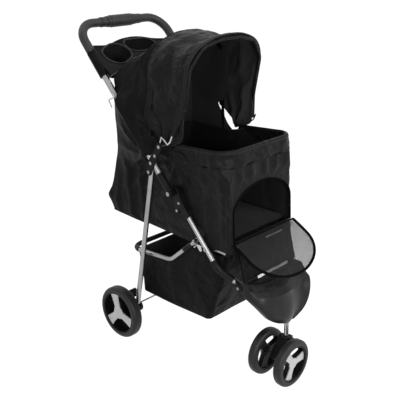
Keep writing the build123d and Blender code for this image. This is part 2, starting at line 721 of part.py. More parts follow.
def tyre(radius, width):
    """Tyre about the X axis with a rounded crown and beads at both sides."""
    bead = radius - TYRE_DEPTH
    shoulder = width * 0.30
    crown = ThreePointArc((0, radius - 8.5), (shoulder * 0.34, radius - 2.4), (shoulder, radius))
    tread = Line((shoulder, radius), (width - shoulder, radius))
    fall = ThreePointArc((width - shoulder, radius), (width - shoulder * 0.34, radius - 2.4),
                         (width, radius - 8.5))
    inside = Polyline((width, radius - 8.5), (width, bead), (0, bead), (0, radius - 8.5))
    return wheel_turn(make_face([crown, tread, fall, inside]))


def arm_outline(reach, root, tip, turn):
    """One arm from the hub to the rim, widening outward to a rounded end."""
    lower = Spline((0, -root), (reach * 0.45, -root * 0.94), (reach, -tip))
    end = ThreePointArc((reach, -tip), (reach + 2.5, 0), (reach, tip))
    upper = Spline((reach, tip), (reach * 0.45, root * 0.94), (0, root))
    back = Line((0, root), (0, -root))
    return Rot(0, 0, turn) * make_face([lower, end, upper, back])


def three_arms(reach, root, tip, first_turn):
    """Sketch of three arms a third of a turn apart."""
    return Sketch() + [arm_outline(reach, root, tip, first_turn + 120 * step) for step in range(3)]


def wheel_slice(sketch, x_from, x_to):
    """Extrude a wheel-plane sketch between two X stations."""
    return extrude(Plane.YZ.offset(x_from) * sketch, amount=x_to - x_from)


def wheel_rim(radius, width, cap_seat, first_turn, back):
    """Rim with a boss and three deep arms; a back web closes it when it has a thickness."""
    bead = radius - TYRE_DEPTH
    inner = bead - 4.5
    barrel = wheel_turn(make_face(Polyline((1.0, inner), (1.0, bead), (width - 1.0, bead),
                                           (width - 1.0, inner), close=True)))
    arms = three_arms(bead, ARM_ROOT * bead + 2.5, ARM_TIP * bead + 2.5, first_turn)
    arms &= Circle(bead - 1.0)
    body = barrel + wheel_slice(arms, 5.0, cap_seat)
    body += wheel_slice(Circle(16.0), 0.0, cap_seat)
    if back:
        body += wheel_slice(Circle(bead - 1.0), 5.0, 5.0 + back)
    return body - wheel_slice(Circle(AXLE_DIAMETER / 2 + RUNNING_CLEARANCE), -10.0, width + 10.0)


def wheel_cap(radius, width, cap_seat, first_turn):
    """Three-armed cover plate snapped over the arms of the rim."""
    bead = radius - TYRE_DEPTH
    arms = three_arms(bead - 7.5, ARM_ROOT * bead, ARM_TIP * bead, first_turn) + Circle(0.3 * bead)
    body = wheel_slice(arms, cap_seat, cap_seat + 3.0)
    return body - wheel_slice(Circle(AXLE_DIAMETER / 2 + RUNNING_CLEARANCE), cap_seat - 1.0, cap_seat + 1.5)


def rear_wheel(piece):
    """Right rear wheel piece in place; its outer face points to +X."""
    shapes = {
        "tyre": lambda: tyre(REAR_RADIUS, REAR_WIDTH),
        "rim": lambda: wheel_rim(REAR_RADIUS, REAR_WIDTH, REAR_CAP_SEAT, REAR_ARM_TURN, 3.0),
        "cap": lambda: wheel_cap(REAR_RADIUS, REAR_WIDTH, REAR_CAP_SEAT, REAR_ARM_TURN),
    }
    return Pos(REAR_INNER_FACE, *REAR_AXLE) * shapes[piece]()


def front_wheel(piece):
    """Right-hand caster wheel piece before the caster is turned."""
    shapes = {
        "tyre": lambda: tyre(FRONT_RADIUS, FRONT_WIDTH),
        "rim": lambda: wheel_rim(FRONT_RADIUS, FRONT_WIDTH, FRONT_CAP_SEAT, FRONT_ARM_TURN, 0.0),
        "cap": lambda: wheel_cap(FRONT_RADIUS, FRONT_WIDTH, FRONT_CAP_SEAT, FRONT_ARM_TURN),
    }
    return Pos(FRONT_INNER_FACE, CASTER_TRAIL, FRONT_RADIUS) * shapes[piece]()


def in_caster(shape):
    """Place a straight-ahead caster piece: swivelled, so that it trails to the left."""
    return Pos(0, CASTER_Y, 0) * Rot(0, 0, 90) * shape


# ---------------------------------------------------------------- caster
def caster_fork():
    """Moulded swivel block between the front wheels, with its pin."""
    half = 20.0
    side = capsule((0.0, 112.0), (CASTER_TRAIL, FRONT_RADIUS), 17.0, 15.0)
    block = slab(side, -half, half)
    collar = Pos(0, 0, 100) * Cylinder(15.0, 29.5, align=(Align.CENTER, Align.CENTER, Align.MIN))
    pin = Pos(0, 0, 100) * Cylinder(5.0, 118.0, align=(Align.CENTER, Align.CENTER, Align.MIN))
    body = block + collar + pin
    body -= x_rod(-60, 60, (CASTER_TRAIL, FRONT_RADIUS), AXLE_DIAMETER)
    slot = Pos(0, -14.0, 122.0) * Box(8.2, 12.0, 34.0)
    return in_caster(body - slot)


def front_axle():
    """Steel axle of the caster wheels."""
    return in_caster(x_rod(-53.2, 53.2, (CASTER_TRAIL, FRONT_RADIUS), AXLE_DIAMETER))


def swivel_lock():
    """Sliding tab that locks the caster straight."""
    tab = Pos(0, -13.5, 116.0) * Box(7.8, 9.0, 14.0)
    knob = Pos(0, -21.0, 118.0) * Box(14.0, 7.0, 6.0)
    return in_caster(tab + knob)


def lock_sleeve():
    """Left lock sleeve over the lower end of the handle tube."""
    start = (-OUTER_X, *handle_point(17.0))
    end = (-OUTER_X, *handle_point(60.0))
    flange = (-OUTER_X, *handle_point(66.0))
    bore = HANDLE_TUBE + 2 * RUNNING_CLEARANCE
    sleeve = straight_tube(start, end, 22.0, bore)
    lip = straight_tube(end, flange, 22.8, bore)
    return sleeve + lip


# ---------------------------------------------------------------- assembly
def left_and_right(name, shape):
    """Keep a left piece and its mirror image as two nodes."""
    keep(name + "_left", shape)
    keep(name + "_right", mirrored(shape))


left_and_right("front_leg", front_leg())
left_and_right("fold_housing", fold_housing())
keep("frame_pins", frame_pins())
keep("floor_frame", floor_frame())
keep("hoop_brackets", hoop_brackets())
keep("head_block", head_block())
keep("caster_stem", caster_stem())
keep("front_shield", front_shield())
keep("shield_clips", leg_sleeves())
keep("front_apron", front_apron())
keep("cabin_shell", cabin_shell())
keep("floor_cushion", floor_cushion())
keep("basket", basket())
keep("mesh_door", mesh_door())
keep("handle_tube", handle_tube())
left_and_right("grip_foam", grip_foam())
keep("centre_grip", centre_grip())
keep("grip_collars", grip_collars())
keep("cup_tray", cup_tray())
keep("tray_clamps", tray_clamps())
left_and_right("side_bracket", side_bracket())
keep("bracket_rivets", bracket_rivets())
keep("storage_hook", storage_hook())
keep("rear_bow", rear_bow())
keep("canopy_hood", canopy_hood())
keep("canopy_back", canopy_back())
left_and_right("lock_sleeve", lock_sleeve())
keep("rim_bow", rim_bow())
keep("rim_band", rim_band())
keep("canopy_front_bow", canopy_front_bow())
keep("canopy_hinges", canopy_hinges())
left_and_right("rear_leg", rear_leg())
keep("cross_rod", cross_rod())
left_and_right("wheel_bracket", wheel_bracket())
keep("rear_leg_pins", rear_leg_pins())
left_and_right("brake_pedal", brake_pedal())
keep("basket_hoop", basket_hoop())
keep("caster_fork", caster_fork())
keep("front_axle", front_axle())
keep("swivel_lock", swivel_lock())
for piece in WHEEL_PIECES:
    keep("rear_" + piece + "_right", rear_wheel(piece))
    keep("rear_" + piece + "_left", mirrored(rear_wheel(piece)))
    keep("front_" + piece + "_right", in_caster(front_wheel(piece)))
    keep("front_" + piece + "_left", in_caster(mirrored(front_wheel(piece))))

for name, shape in nodes.items():
    export_step(shape, "parts/" + name + ".step")
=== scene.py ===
# %% [markdown]
# # A folding pet stroller
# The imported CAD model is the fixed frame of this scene. It holds every tube, wheel, bracket
# and pin at its real size. This script gives those pieces their finishes, and models the
# soft goods: the cabin, the hood, the basket, the rim band, the floor mat and the mesh door.
# The frame could be modelled again here, but one shared frame keeps looks and motion together.

# %% Load the frame
import bpy
import bmesh
import json
import math
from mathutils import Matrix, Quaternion, Vector, noise


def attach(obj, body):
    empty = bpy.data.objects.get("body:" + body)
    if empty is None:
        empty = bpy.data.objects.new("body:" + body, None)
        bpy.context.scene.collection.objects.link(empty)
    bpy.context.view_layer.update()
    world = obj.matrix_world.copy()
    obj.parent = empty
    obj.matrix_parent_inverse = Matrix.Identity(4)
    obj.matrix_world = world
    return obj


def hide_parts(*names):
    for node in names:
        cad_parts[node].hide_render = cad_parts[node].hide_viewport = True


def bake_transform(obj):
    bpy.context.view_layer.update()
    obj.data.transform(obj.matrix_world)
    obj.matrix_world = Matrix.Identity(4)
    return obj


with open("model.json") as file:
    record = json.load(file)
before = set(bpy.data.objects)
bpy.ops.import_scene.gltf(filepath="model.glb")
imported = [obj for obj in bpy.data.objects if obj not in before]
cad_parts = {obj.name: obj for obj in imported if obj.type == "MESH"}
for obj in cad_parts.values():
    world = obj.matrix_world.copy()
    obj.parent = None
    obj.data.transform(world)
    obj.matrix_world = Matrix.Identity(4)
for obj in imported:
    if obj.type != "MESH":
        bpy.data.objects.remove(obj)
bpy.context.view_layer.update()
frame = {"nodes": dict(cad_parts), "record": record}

# %% [markdown]
# Sizes in this lesson are written in millimetres, as on a workshop drawing, and Blender works
# in metres. One small helper turns a length or a point into metres. The others keep the
# selection clean, because an operator acts on everything that is selected.


# %% Helpers for sizes and selection
def mm(*values):
    """Millimetres to metres: one number stays a number, several become a vector."""
    if len(values) == 1:
        return values[0] / 1000
    return Vector(value / 1000 for value in values)


def deselect():
    """Operators act on all that is selected, so every step starts from nothing."""
    if bpy.context.mode != "OBJECT":
        bpy.ops.object.mode_set(mode="OBJECT")
    bpy.ops.object.select_all(action="DESELECT")


def take(piece):
    """Make a piece the selected and active one, and nothing else."""
    deselect()
    bpy.context.view_layer.objects.active = piece
    piece.select_set(True)


def add_modifier(piece, kind, **values):
    """Put a modifier on a piece, with its values."""
    take(piece)
    bpy.ops.object.modifier_add(type=kind)
    for label, value in values.items():
        setattr(piece.modifiers[-1], label, value)


def finish_modifiers(piece):
    """Apply every modifier of a piece, so that its mesh is final."""
    take(piece)
    for modifier in list(piece.modifiers):
        bpy.ops.object.modifier_apply(modifier=modifier.name)


def settle(piece, name, finish=None):
    """Name a piece, put its place into its mesh and leave its object at the origin."""
    take(piece)
    piece.name = name
    bpy.ops.object.transform_apply(location=True, rotation=True, scale=True)
    if finish:
        piece.data.materials.clear()
        piece.data.materials.append(finish)
    return piece


print("17 mm is", mm(17), "m")

# %% [markdown]
# The camera stands in front of the stroller's left side, a little above the hood, and looks
# down at it. It is aimed by a direction, which is easier to read than three angles.

# %% Camera
CAMERA_PLACE = mm(-1443.2, -1371.0, 1235.9)
CAMERA_YAW, CAMERA_PITCH = 0.8034, -0.3667
SENSOR_WIDTH, LENS_LENGTH = 36, 61.65

look = Vector((
    math.sin(CAMERA_YAW) * math.cos(CAMERA_PITCH),
    math.cos(CAMERA_YAW) * math.cos(CAMERA_PITCH),
    math.sin(CAMERA_PITCH),
))
bpy.ops.object.camera_add(location=CAMERA_PLACE)
camera = bpy.context.object
camera.rotation_euler = look.to_track_quat("-Z", "Y").to_euler()
camera.data.sensor_width = SENSOR_WIDTH
camera.data.lens = LENS_LENGTH
bpy.context.scene.camera = camera
bpy.context.scene.view_settings.view_transform = "Standard"
print("camera looks along", [round(value, 3) for value in look])

# %% [markdown]
# The light is that of a plain studio: one large soft lamp in front and above, weaker ones on
# the left and beside the camera, one behind and one overhead for the edges, and a dim even
# surround. A black product could be lit by small spots, but it shows its shape by what its
# smooth faces mirror, and large lamps give those broad, soft patches.


# %% Lamps
def soft_lamp(name, place, aim, size, power):
    """A square lamp at a place, turned to a point."""
    deselect()
    bpy.ops.object.light_add(type="AREA", location=place)
    lamp = bpy.context.object
    lamp.name = name
    lamp.rotation_euler = (aim - place).to_track_quat("-Z", "Y").to_euler()
    lamp.data.size = size
    lamp.data.energy = power


LAMPS = [
    # name, place in millimetres, side in metres, watts
    ("front_lamp", (700, -2600, 2100), 1.2, 52),
    ("left_lamp", (-2600, -900, 1700), 1.0, 16),
    ("camera_lamp", (-1200, -1900, 1000), 0.6, 26),
    ("rear_lamp", (-600, 2300, 2400), 1.4, 12),
    ("top_lamp", (200, 0, 3200), 1.4, 12),
]
CABIN_MIDDLE = mm(0, 0, 550)
for name, place, size, power in LAMPS:
    soft_lamp(name, mm(*place), CABIN_MIDDLE, size, power)
print("lamps:", len(LAMPS))

# %% [markdown]
# The surround is white to the camera and to reflections, and dim as a source of light. The
# floor is pale and keeps the stroller's shadow: it is part light of its own, part white paint.
# A curved paper backdrop could be modelled, but its edge would show in views from behind.


# %% Node tools
def math_node(tree, operation, first, second=None):
    """A Math node whose inputs are sockets or plain numbers."""
    node = tree.nodes.new("ShaderNodeMath")
    node.operation = operation
    for index, value in enumerate((first, second)):
        if isinstance(value, (int, float)):
            node.inputs[index].default_value = value
        elif value is not None:
            tree.links.new(value, node.inputs[index])
    return node.outputs[0]


def coloured(tree, kind, shade):
    """A plain shader node with one grey."""
    node = tree.nodes.new(kind)
    node.inputs["Color"].default_value = (shade, shade, shade, 1)
    return node


def seen_ray(tree):
    """1 for camera, mirror and see-through rays, which show the white surround."""
    path = tree.nodes.new("ShaderNodeLightPath").outputs
    seen = math_node(tree, "MAXIMUM", path["Is Camera Ray"], path["Is Glossy Ray"])
    return math_node(tree, "MAXIMUM", seen, path["Is Transmission Ray"])


print("node tools: math_node, coloured, seen_ray")

# %% Surround and floor
SURROUND_LIGHT, FLOOR_GLOW, FLOOR_PAINT, FLOOR_SIDE = 0.32, 0.97, 0.20, 60


def empty_tree(owner, output):
    """The node tree of a world or a material, with its output alone."""
    owner.use_nodes = True
    tree = owner.node_tree
    tree.nodes.clear()
    return tree, tree.nodes.new(output).inputs["Surface"]


def make_surround():
    """World: white where it is seen, dim where it lights."""
    world = bpy.data.worlds.new("studio_surround")
    bpy.context.scene.world = world
    tree, surface = empty_tree(world, "ShaderNodeOutputWorld")
    seen = coloured(tree, "ShaderNodeBackground", 1)
    lighting = coloured(tree, "ShaderNodeBackground", 1)
    lighting.inputs["Strength"].default_value = SURROUND_LIGHT
    mix = tree.nodes.new("ShaderNodeMixShader")
    tree.links.new(seen_ray(tree), mix.inputs[0])
    tree.links.new(lighting.outputs[0], mix.inputs[1])
    tree.links.new(seen.outputs[0], mix.inputs[2])
    tree.links.new(mix.outputs[0], surface)


def make_floor():
    """A wide pale floor under the wheels."""
    deselect()
    bpy.ops.mesh.primitive_plane_add(size=FLOOR_SIDE)
    floor = bpy.context.object
    floor.name = "floor"
    paint = bpy.data.materials.new("pale_floor")
    tree, surface = empty_tree(paint, "ShaderNodeOutputMaterial")
    matte = coloured(tree, "ShaderNodeBsdfDiffuse", FLOOR_PAINT)
    glow = coloured(tree, "ShaderNodeEmission", 1)
    level = math_node(tree, "MULTIPLY", seen_ray(tree), FLOOR_GLOW)
    tree.links.new(level, glow.inputs["Strength"])
    total = tree.nodes.new("ShaderNodeAddShader")
    tree.links.new(matte.outputs[0], total.inputs[0])
    tree.links.new(glow.outputs[0], total.inputs[1])
    tree.links.new(total.outputs[0], surface)
    floor.data.materials.append(paint)


make_surround()
make_floor()
print("studio ready")

# %% [markdown]
# ## Finishes
# Effects that several finishes share are node groups: a fine grain for moulded plastic, a
# plain weave and creases for cloth, and draw marks for tubes, each with the slow changes of
# tone that dust and handling leave. Pictures of real surfaces could do this too, but nodes
# need no files and stay sharp up close. Each group gives only masks and heights, and each
# material uses its own amounts of them.


# %% Node group tools
def new_group(name, inputs, outputs):
    """An empty shader node group with float or vector inputs and float outputs."""
    group = bpy.data.node_groups.new(name, "ShaderNodeTree")
    for label, kind, value in inputs:
        socket = group.interface.new_socket(name=label, in_out="INPUT", socket_type=kind)
        if value is not None:
            socket.default_value = value
    for label in outputs:
        group.interface.new_socket(name=label, in_out="OUTPUT", socket_type="NodeSocketFloat")
    start = group.nodes.new("NodeGroupInput")
    end = group.nodes.new("NodeGroupOutput")
    return group, start, end


def noise_node(tree, vector, scale, detail=2.0, roughness=0.5):
    """A noise texture on a vector socket."""
    node = tree.nodes.new("ShaderNodeTexNoise")
    tree.links.new(vector, node.inputs["Vector"])
    if isinstance(scale, (int, float)):
        node.inputs["Scale"].default_value = scale
    else:
        tree.links.new(scale, node.inputs["Scale"])
    node.inputs["Detail"].default_value = detail
    node.inputs["Roughness"].default_value = roughness
    return node.outputs["Fac"]


VECTOR, FLOAT = "NodeSocketVector", "NodeSocketFloat"
print("group tools: new_group, noise_node")


# %% Shared effects of the rigid finishes
def make_grain():
    """Fine spark-eroded grain of moulded plastic, with slow handling marks."""
    group, start, end = new_group(
        "moulded_grain", [("Vector", VECTOR, None), ("Scale", FLOAT, 900.0)], ["Height", "Marks"])
    fine = noise_node(group, start.outputs["Vector"], start.outputs["Scale"], 3.0, 0.6)
    marks = noise_node(group, start.outputs["Vector"], 26.0, 4.0, 0.6)
    group.links.new(fine, end.inputs["Height"])
    group.links.new(marks, end.inputs["Marks"])
    return group


def make_draw_marks():
    """Long fine marks that drawing and polishing leave along a tube."""
    group, start, end = new_group(
        "draw_marks", [("Vector", VECTOR, None), ("Stretch", VECTOR, (1.0, 1.0, 0.05))],
        ["Height", "Dull"])
    scaled = group.nodes.new("ShaderNodeVectorMath")
    scaled.operation = "MULTIPLY"
    group.links.new(start.outputs["Vector"], scaled.inputs[0])
    group.links.new(start.outputs["Stretch"], scaled.inputs[1])
    lines = noise_node(group, scaled.outputs[0], 1500.0, 2.0, 0.6)
    dull = noise_node(group, start.outputs["Vector"], 18.0, 4.0, 0.6)
    group.links.new(lines, end.inputs["Height"])
    group.links.new(dull, end.inputs["Dull"])
    return group


GRAIN = make_grain()
DRAW_MARKS = make_draw_marks()
print("rigid effects:", GRAIN.name, DRAW_MARKS.name)


# %% Shared effects of the cloth finishes
def make_weave():
    """Plain weave: threads cross over and under, with thick and thin places."""
    group, start, end = new_group(
        "plain_weave", [("Vector", VECTOR, None), ("Pitch", FLOAT, 0.0009)], ["Height", "Tone"])
    split = group.nodes.new("ShaderNodeSeparateXYZ")
    group.links.new(start.outputs["Vector"], split.inputs[0])
    turns = math_node(group, "DIVIDE", math.pi, start.outputs["Pitch"])
    warp = math_node(group, "SINE", math_node(group, "MULTIPLY", split.outputs[0], turns))
    weft = math_node(group, "SINE", math_node(group, "MULTIPLY", split.outputs[1], turns))
    cross = math_node(group, "MULTIPLY", warp, weft)
    height = math_node(group, "ABSOLUTE", cross)
    slub = noise_node(group, start.outputs["Vector"], 240.0, 2.0, 0.5)
    group.links.new(math_node(group, "MULTIPLY", height, slub), end.inputs["Height"])
    slow = noise_node(group, start.outputs["Vector"], 9.0, 4.0, 0.55)
    group.links.new(slow, end.inputs["Tone"])
    return group


CREASE_SIZES, CREASE_SHARPNESS = ((8.0, 0.7), (20.0, 0.3)), 4.0


def make_creases():
    """Creases of cloth that has been folded: ridges in two sizes, in metres of cloth."""
    group, start, end = new_group("cloth_creases", [("Vector", VECTOR, None)], ["Height"])
    total = None
    for scale, share in CREASE_SIZES:
        wave = noise_node(group, start.outputs["Vector"], scale, 2.0, 0.5)
        away = math_node(group, "ABSOLUTE", math_node(group, "SUBTRACT", wave, 0.5))
        ridge = math_node(group, "POWER", math_node(group, "SUBTRACT", 1.0, away), CREASE_SHARPNESS)
        part = math_node(group, "MULTIPLY", ridge, share)
        total = part if total is None else math_node(group, "ADD", total, part)
    group.links.new(total, end.inputs["Height"])
    return group


CREASES = make_creases()
WEAVE = make_weave()
print("cloth effects:", CREASES.name, WEAVE.name)

# %% [markdown]
# A material starts from plain numbers on its own shader: metal, gloss and sheen. A mask then
# moves the colour between two close tones and the roughness between two values, and a height
# gives the surface its relief. One flat tone would be simpler, and would look like paper.


# %% Material tools
def principled(name, metallic=0.0, specular=0.5, sheen=0.0):
    """A new material and its shader, with the constant values set on the shader itself."""
    material = bpy.data.materials.new(name)
    material.use_nodes = True
    shader = material.node_tree.nodes["Principled BSDF"]
    shader.inputs["Metallic"].default_value = metallic
    shader.inputs["Specular IOR Level"].default_value = specular
    shader.inputs["Sheen Weight"].default_value = sheen
    shader.inputs["Sheen Roughness"].default_value = 0.5
    return material, shader


def use_group(material, group, vector, **values):
    """Place a shared effect in a material, with its own values."""
    tree = material.node_tree
    node = tree.nodes.new("ShaderNodeGroup")
    node.node_tree = group
    tree.links.new(vector, node.inputs["Vector"])
    for label, value in values.items():
        node.inputs[label].default_value = value
    return node


def coordinates(material, kind):
    """"Object" follows the piece; "UV" is its own map, in metres along the cloth."""
    return material.node_tree.nodes.new("ShaderNodeTexCoord").outputs[kind]


print("coordinate kinds: Object and UV")


# %% Tone, roughness and relief
def tone(material, shader, mask, dark, light):
    """Base colour between two tones by a mask."""
    tree = material.node_tree
    ramp = tree.nodes.new("ShaderNodeValToRGB")
    ramp.color_ramp.elements[0].position = 0.35
    ramp.color_ramp.elements[0].color = (*dark, 1)
    ramp.color_ramp.elements[1].position = 0.70
    ramp.color_ramp.elements[1].color = (*light, 1)
    tree.links.new(mask, ramp.inputs[0])
    tree.links.new(ramp.outputs[0], shader.inputs["Base Color"])


def rough_between(material, shader, mask, low, high):
    """Roughness between two values by a mask."""
    tree = material.node_tree
    node = tree.nodes.new("ShaderNodeMapRange")
    node.inputs["To Min"].default_value = low
    node.inputs["To Max"].default_value = high
    tree.links.new(mask, node.inputs["Value"])
    tree.links.new(node.outputs[0], shader.inputs["Roughness"])


def relief(material, shader, height, depth):
    """Bump from a height mask, with its depth in metres, on top of any earlier bump."""
    tree = material.node_tree
    node = tree.nodes.new("ShaderNodeBump")
    node.inputs["Distance"].default_value = depth
    node.inputs["Strength"].default_value = 1.0
    if shader.inputs["Normal"].is_linked:
        tree.links.new(shader.inputs["Normal"].links[0].from_socket, node.inputs["Normal"])
    tree.links.new(height, node.inputs["Height"])
    tree.links.new(node.outputs[0], shader.inputs["Normal"])


def grey(value, blue=0.0):
    """A neutral colour, a little cooler with blue above zero."""
    return (value, value, value + blue)


print("material tools ready")

# %% [markdown]
# The rigid finishes are anodised tube, two steels, powder coat, several black mouldings,
# silver lacquer, foam and rubber. Each could have nodes of its own, but they differ only in
# tone, gloss and grain, so two functions make them all: one for metal, one for the rest.
# The tray's lips and wells are polished by the mould, so they are a little smoother than its
# grained top. Their lighter tone is painted light: highlight on the lips, shade lifted in the
# wells.


# %% Rigid finishes
def moulded(name, dark, light, rough, grain_scale=900.0, depth=0.00004, **shader_values):
    """A moulded plastic or rubber finish from its two tones, roughness range and grain."""
    material, shader = principled(name, **shader_values)
    grain = use_group(material, GRAIN, coordinates(material, "Object"), Scale=grain_scale)
    tone(material, shader, grain.outputs["Marks"], grey(dark), grey(light))
    rough_between(material, shader, grain.outputs["Marks"], *rough)
    relief(material, shader, grain.outputs["Height"], depth)
    return material


def metal(name, dark, light, rough, stretch):
    """A metal finish with draw marks along its length."""
    material, shader = principled(name, metallic=1.0)
    marks = use_group(material, DRAW_MARKS, coordinates(material, "Object"), Stretch=stretch)
    tone(material, shader, marks.outputs["Dull"], grey(dark), grey(light, 0.004))
    rough_between(material, shader, marks.outputs["Dull"], *rough)
    relief(material, shader, marks.outputs["Height"], 0.00002)
    return material


ANODISED = metal("anodised_tube", 0.27, 0.36, (0.24, 0.34), (1.0, 0.25, 0.25))
BRIGHT_STEEL = metal("bright_steel", 0.42, 0.54, (0.20, 0.34), (1.0, 1.0, 1.0))
DULL_STEEL = metal("zinc_plated_steel", 0.24, 0.34, (0.30, 0.44), (1.0, 1.0, 1.0))
POWDER_COAT = moulded("powder_coat", 0.003, 0.006, (0.42, 0.55), 1400.0, specular=0.08)
BLACK_MOULDING = moulded("black_moulding", 0.004, 0.008, (0.36, 0.50), specular=0.10)
GLOSS_MOULDING = moulded(
    "gloss_moulding", 0.013, 0.019, (0.26, 0.36), 700.0, 0.00001, specular=0.14)
SILVER_LACQUER = moulded(
    "silver_lacquer", 0.48, 0.54, (0.30, 0.40), 600.0, 0.00001, metallic=0.35)
TRAY_MOULDING = moulded("tray_moulding", 0.003, 0.006, (0.30, 0.40), 800.0, specular=0.05)
# painted highlight: the lips are a lighter copy of the tray's plastic, standing for light on their
# raised beads
TRAY_LIP_HIGHLIGHT = moulded("tray_lip_highlight", 0.024, 0.032, (0.30, 0.40), 800.0, specular=0.12)
# painted light: the wells' lighter tone lifts the shade inside them; their higher gloss is real
TRAY_WELL_LIT = moulded("tray_well_lit", 0.012, 0.018, (0.22, 0.30), 800.0, specular=0.25)
FOAM = moulded("foam_sleeve", 0.016, 0.024, (0.46, 0.58), 1600.0, 0.00008, specular=0.30)
GRIP_RUBBER = moulded(
    "grip_rubber", 0.012, 0.020, (0.42, 0.56), 1200.0, 0.00008, specular=0.30)
TYRE_RUBBER = moulded(
    "tyre_rubber", 0.008, 0.014, (0.42, 0.56), 1000.0, 0.00008, specular=0.25)
print("rigid finishes:", len(bpy.data.materials))

# %% Finishes by material slot, and by piece where one differs
NODE_FINISHES = dict.fromkeys(("bracket_rivets", "frame_pins", "rear_leg_pins"), DULL_STEEL)
SLOT_FINISHES = {
    "tube": ANODISED,
    "steel": BRIGHT_STEEL,
    "dark_metal": POWDER_COAT,
    "black_plastic": BLACK_MOULDING,
    "gloss_black": GLOSS_MOULDING,
    "silver_plastic": SILVER_LACQUER,
    "tray_grey": TRAY_MOULDING,
    "foam": FOAM,
    "grip": GRIP_RUBBER,
    "tyre": TYRE_RUBBER,
}
print("slots with a rigid finish:", len(SLOT_FINISHES))

# %% [markdown]
# Cloth has low gloss and a soft sheen at grazing angles. A weave on object coordinates would
# cut straight through the folds. This one follows the cloth, because it is drawn on the
# piece's own UV map, whose unit is a metre of cloth on every panel and cord.

# %% Cloth finishes
THREAD_RELIEF = 0.00016


def woven(name, dark, light, pitch, rough, specular, sheen=0.03, creases=0.0):
    """A woven cloth finish on the piece's UV map, with creases of a height in metres."""
    material, shader = principled(name, specular=specular, sheen=sheen)
    weave = use_group(material, WEAVE, coordinates(material, "UV"), Pitch=pitch)
    tone(material, shader, weave.outputs["Tone"], grey(dark), grey(light))
    rough_between(material, shader, weave.outputs["Tone"], *rough)
    if creases:
        folds = use_group(material, CREASES, coordinates(material, "UV"))
        relief(material, shader, folds.outputs["Height"], creases)
    relief(material, shader, weave.outputs["Height"], THREAD_RELIEF)
    return material


OXFORD = woven("black_oxford", 0.0022, 0.0045, 0.0009, (0.38, 0.52), 0.10, 0.02, creases=0.009)
# painted shade: a darker copy of the black oxford, for the rear shell and the basket bag
SHADED_OXFORD = woven(
    "shaded_oxford", 0.0012, 0.0026, 0.0009, (0.44, 0.58), 0.07, 0.01, creases=0.006)
# painted light: both linings are lighter copies of the black cloth, which lift the shade on the
# inner faces of the cabin, shell, hood and basket
LIT_CABIN_LINING = woven(
    "lit_cabin_lining", 0.0090, 0.0130, 0.0007, (0.60, 0.75), 0.06, 0.02, creases=0.004)
LIT_LINING = woven("lit_black_lining", 0.0200, 0.0260, 0.0006, (0.70, 0.85), 0.05, 0.02)
BINDING = woven("black_binding", 0.0010, 0.0022, 0.0008, (0.60, 0.72), 0.03, 0.0)
QUILT = woven("quilted_mat", 0.006, 0.0095, 0.0008, (0.70, 0.85), 0.06, 0.03)
PIPING = woven("piping_cord", 0.007, 0.011, 0.0007, (0.40, 0.52), 0.14, 0.04)
PALE_TAPE = woven("pale_tape", 0.80, 0.88, 0.0008, (0.45, 0.60), 0.30)
print("finishes in all:", len(bpy.data.materials))

# %% [markdown]
# The CAD nodes take their finish from the record's material slots. It could be given node by
# node, but this way pieces of one material always match. Cloth nodes keep a cloth finish here
# only until the modelled soft goods below stand in for them.

# %% Finishes on the CAD nodes
for part in frame["record"]["subparts"]:
    node = frame["nodes"][part["node"]]
    finish = SLOT_FINISHES.get(part["material_slot"], OXFORD)
    finish = NODE_FINISHES.get(part["node"], finish)
    node.data.materials.clear()
    node.data.materials.append(finish)
print("finished CAD nodes:", len(frame["nodes"]))

# %% [markdown]
# ## Cloth pieces
# Every cloth panel starts as a flat grid, as a cut piece of cloth does. Each point of the grid
# is then laid on the form that the frame gives it, and the folds are added along the cloth's
# own normals. A simulation could drape it, but cloth that is sewn tight on bows and tubes has
# a known form, and this way keeps it exactly. The UV map is the flat cloth itself, in metres,
# so the weave keeps one size and runs with the threads.


# %% Readings between known sizes
def ease(low, high, value):
    """0 below low, 1 above high, and a smooth turn between them."""
    share = min(max((value - low) / (high - low), 0.0), 1.0)
    return share * share * (3 - 2 * share)


def reading(table, key):
    """A smooth value at a key, from a table of (key, value) rows in rising order."""
    if key <= table[0][0]:
        return table[0][1]
    if key >= table[-1][0]:
        return table[-1][1]
    place = next(index for index in range(len(table) - 1) if key <= table[index + 1][0])
    slopes = []
    for index in (place, place + 1):
        before, after = table[max(index - 1, 0)], table[min(index + 1, len(table) - 1)]
        slopes.append((after[1] - before[1]) / (after[0] - before[0]))
    (start, low), (end, high) = table[place], table[place + 1]
    span = end - start
    share = (key - start) / span
    square, cube = share ** 2, share ** 3
    return ((2 * cube - 3 * square + 1) * low + (cube - 2 * square + share) * span * slopes[0]
            + (3 * square - 2 * cube) * high + (cube - square) * span * slopes[1])


def ripple(point, size, seed=0.0):
    """Slow random waves through space, about one wave in each size, in millimetres."""
    return noise.noise(Vector(point) / size + Vector((seed, seed * 1.7, seed * 2.3)))


def wrinkle(point, size, seed=0.0):
    """Sharp small creases: ridges where the slow waves cross zero."""
    return 1.0 - min(abs(ripple(point, size, seed)) * 3.2, 1.0)


def crest(turn):
    """A wave with narrow crests and wide valleys, as folds in hanging cloth have."""
    return 1.6 * (0.5 + 0.5 * math.sin(turn)) ** 2.2 - 0.5


def rays(point, centre, count, slow, size, seed):
    """Folds that fan out from a pull at (y, z), and how far the point is from it."""
    way_y, way_z = point[1] - centre[0], point[2] - centre[1]
    fan = crest(count * math.atan2(way_z, way_y) + slow * ripple(point, size, seed))
    return fan, math.hypot(way_y, way_z)


print("a fold's crest and valley:", round(crest(math.pi / 2), 2), round(crest(-math.pi / 2), 2))


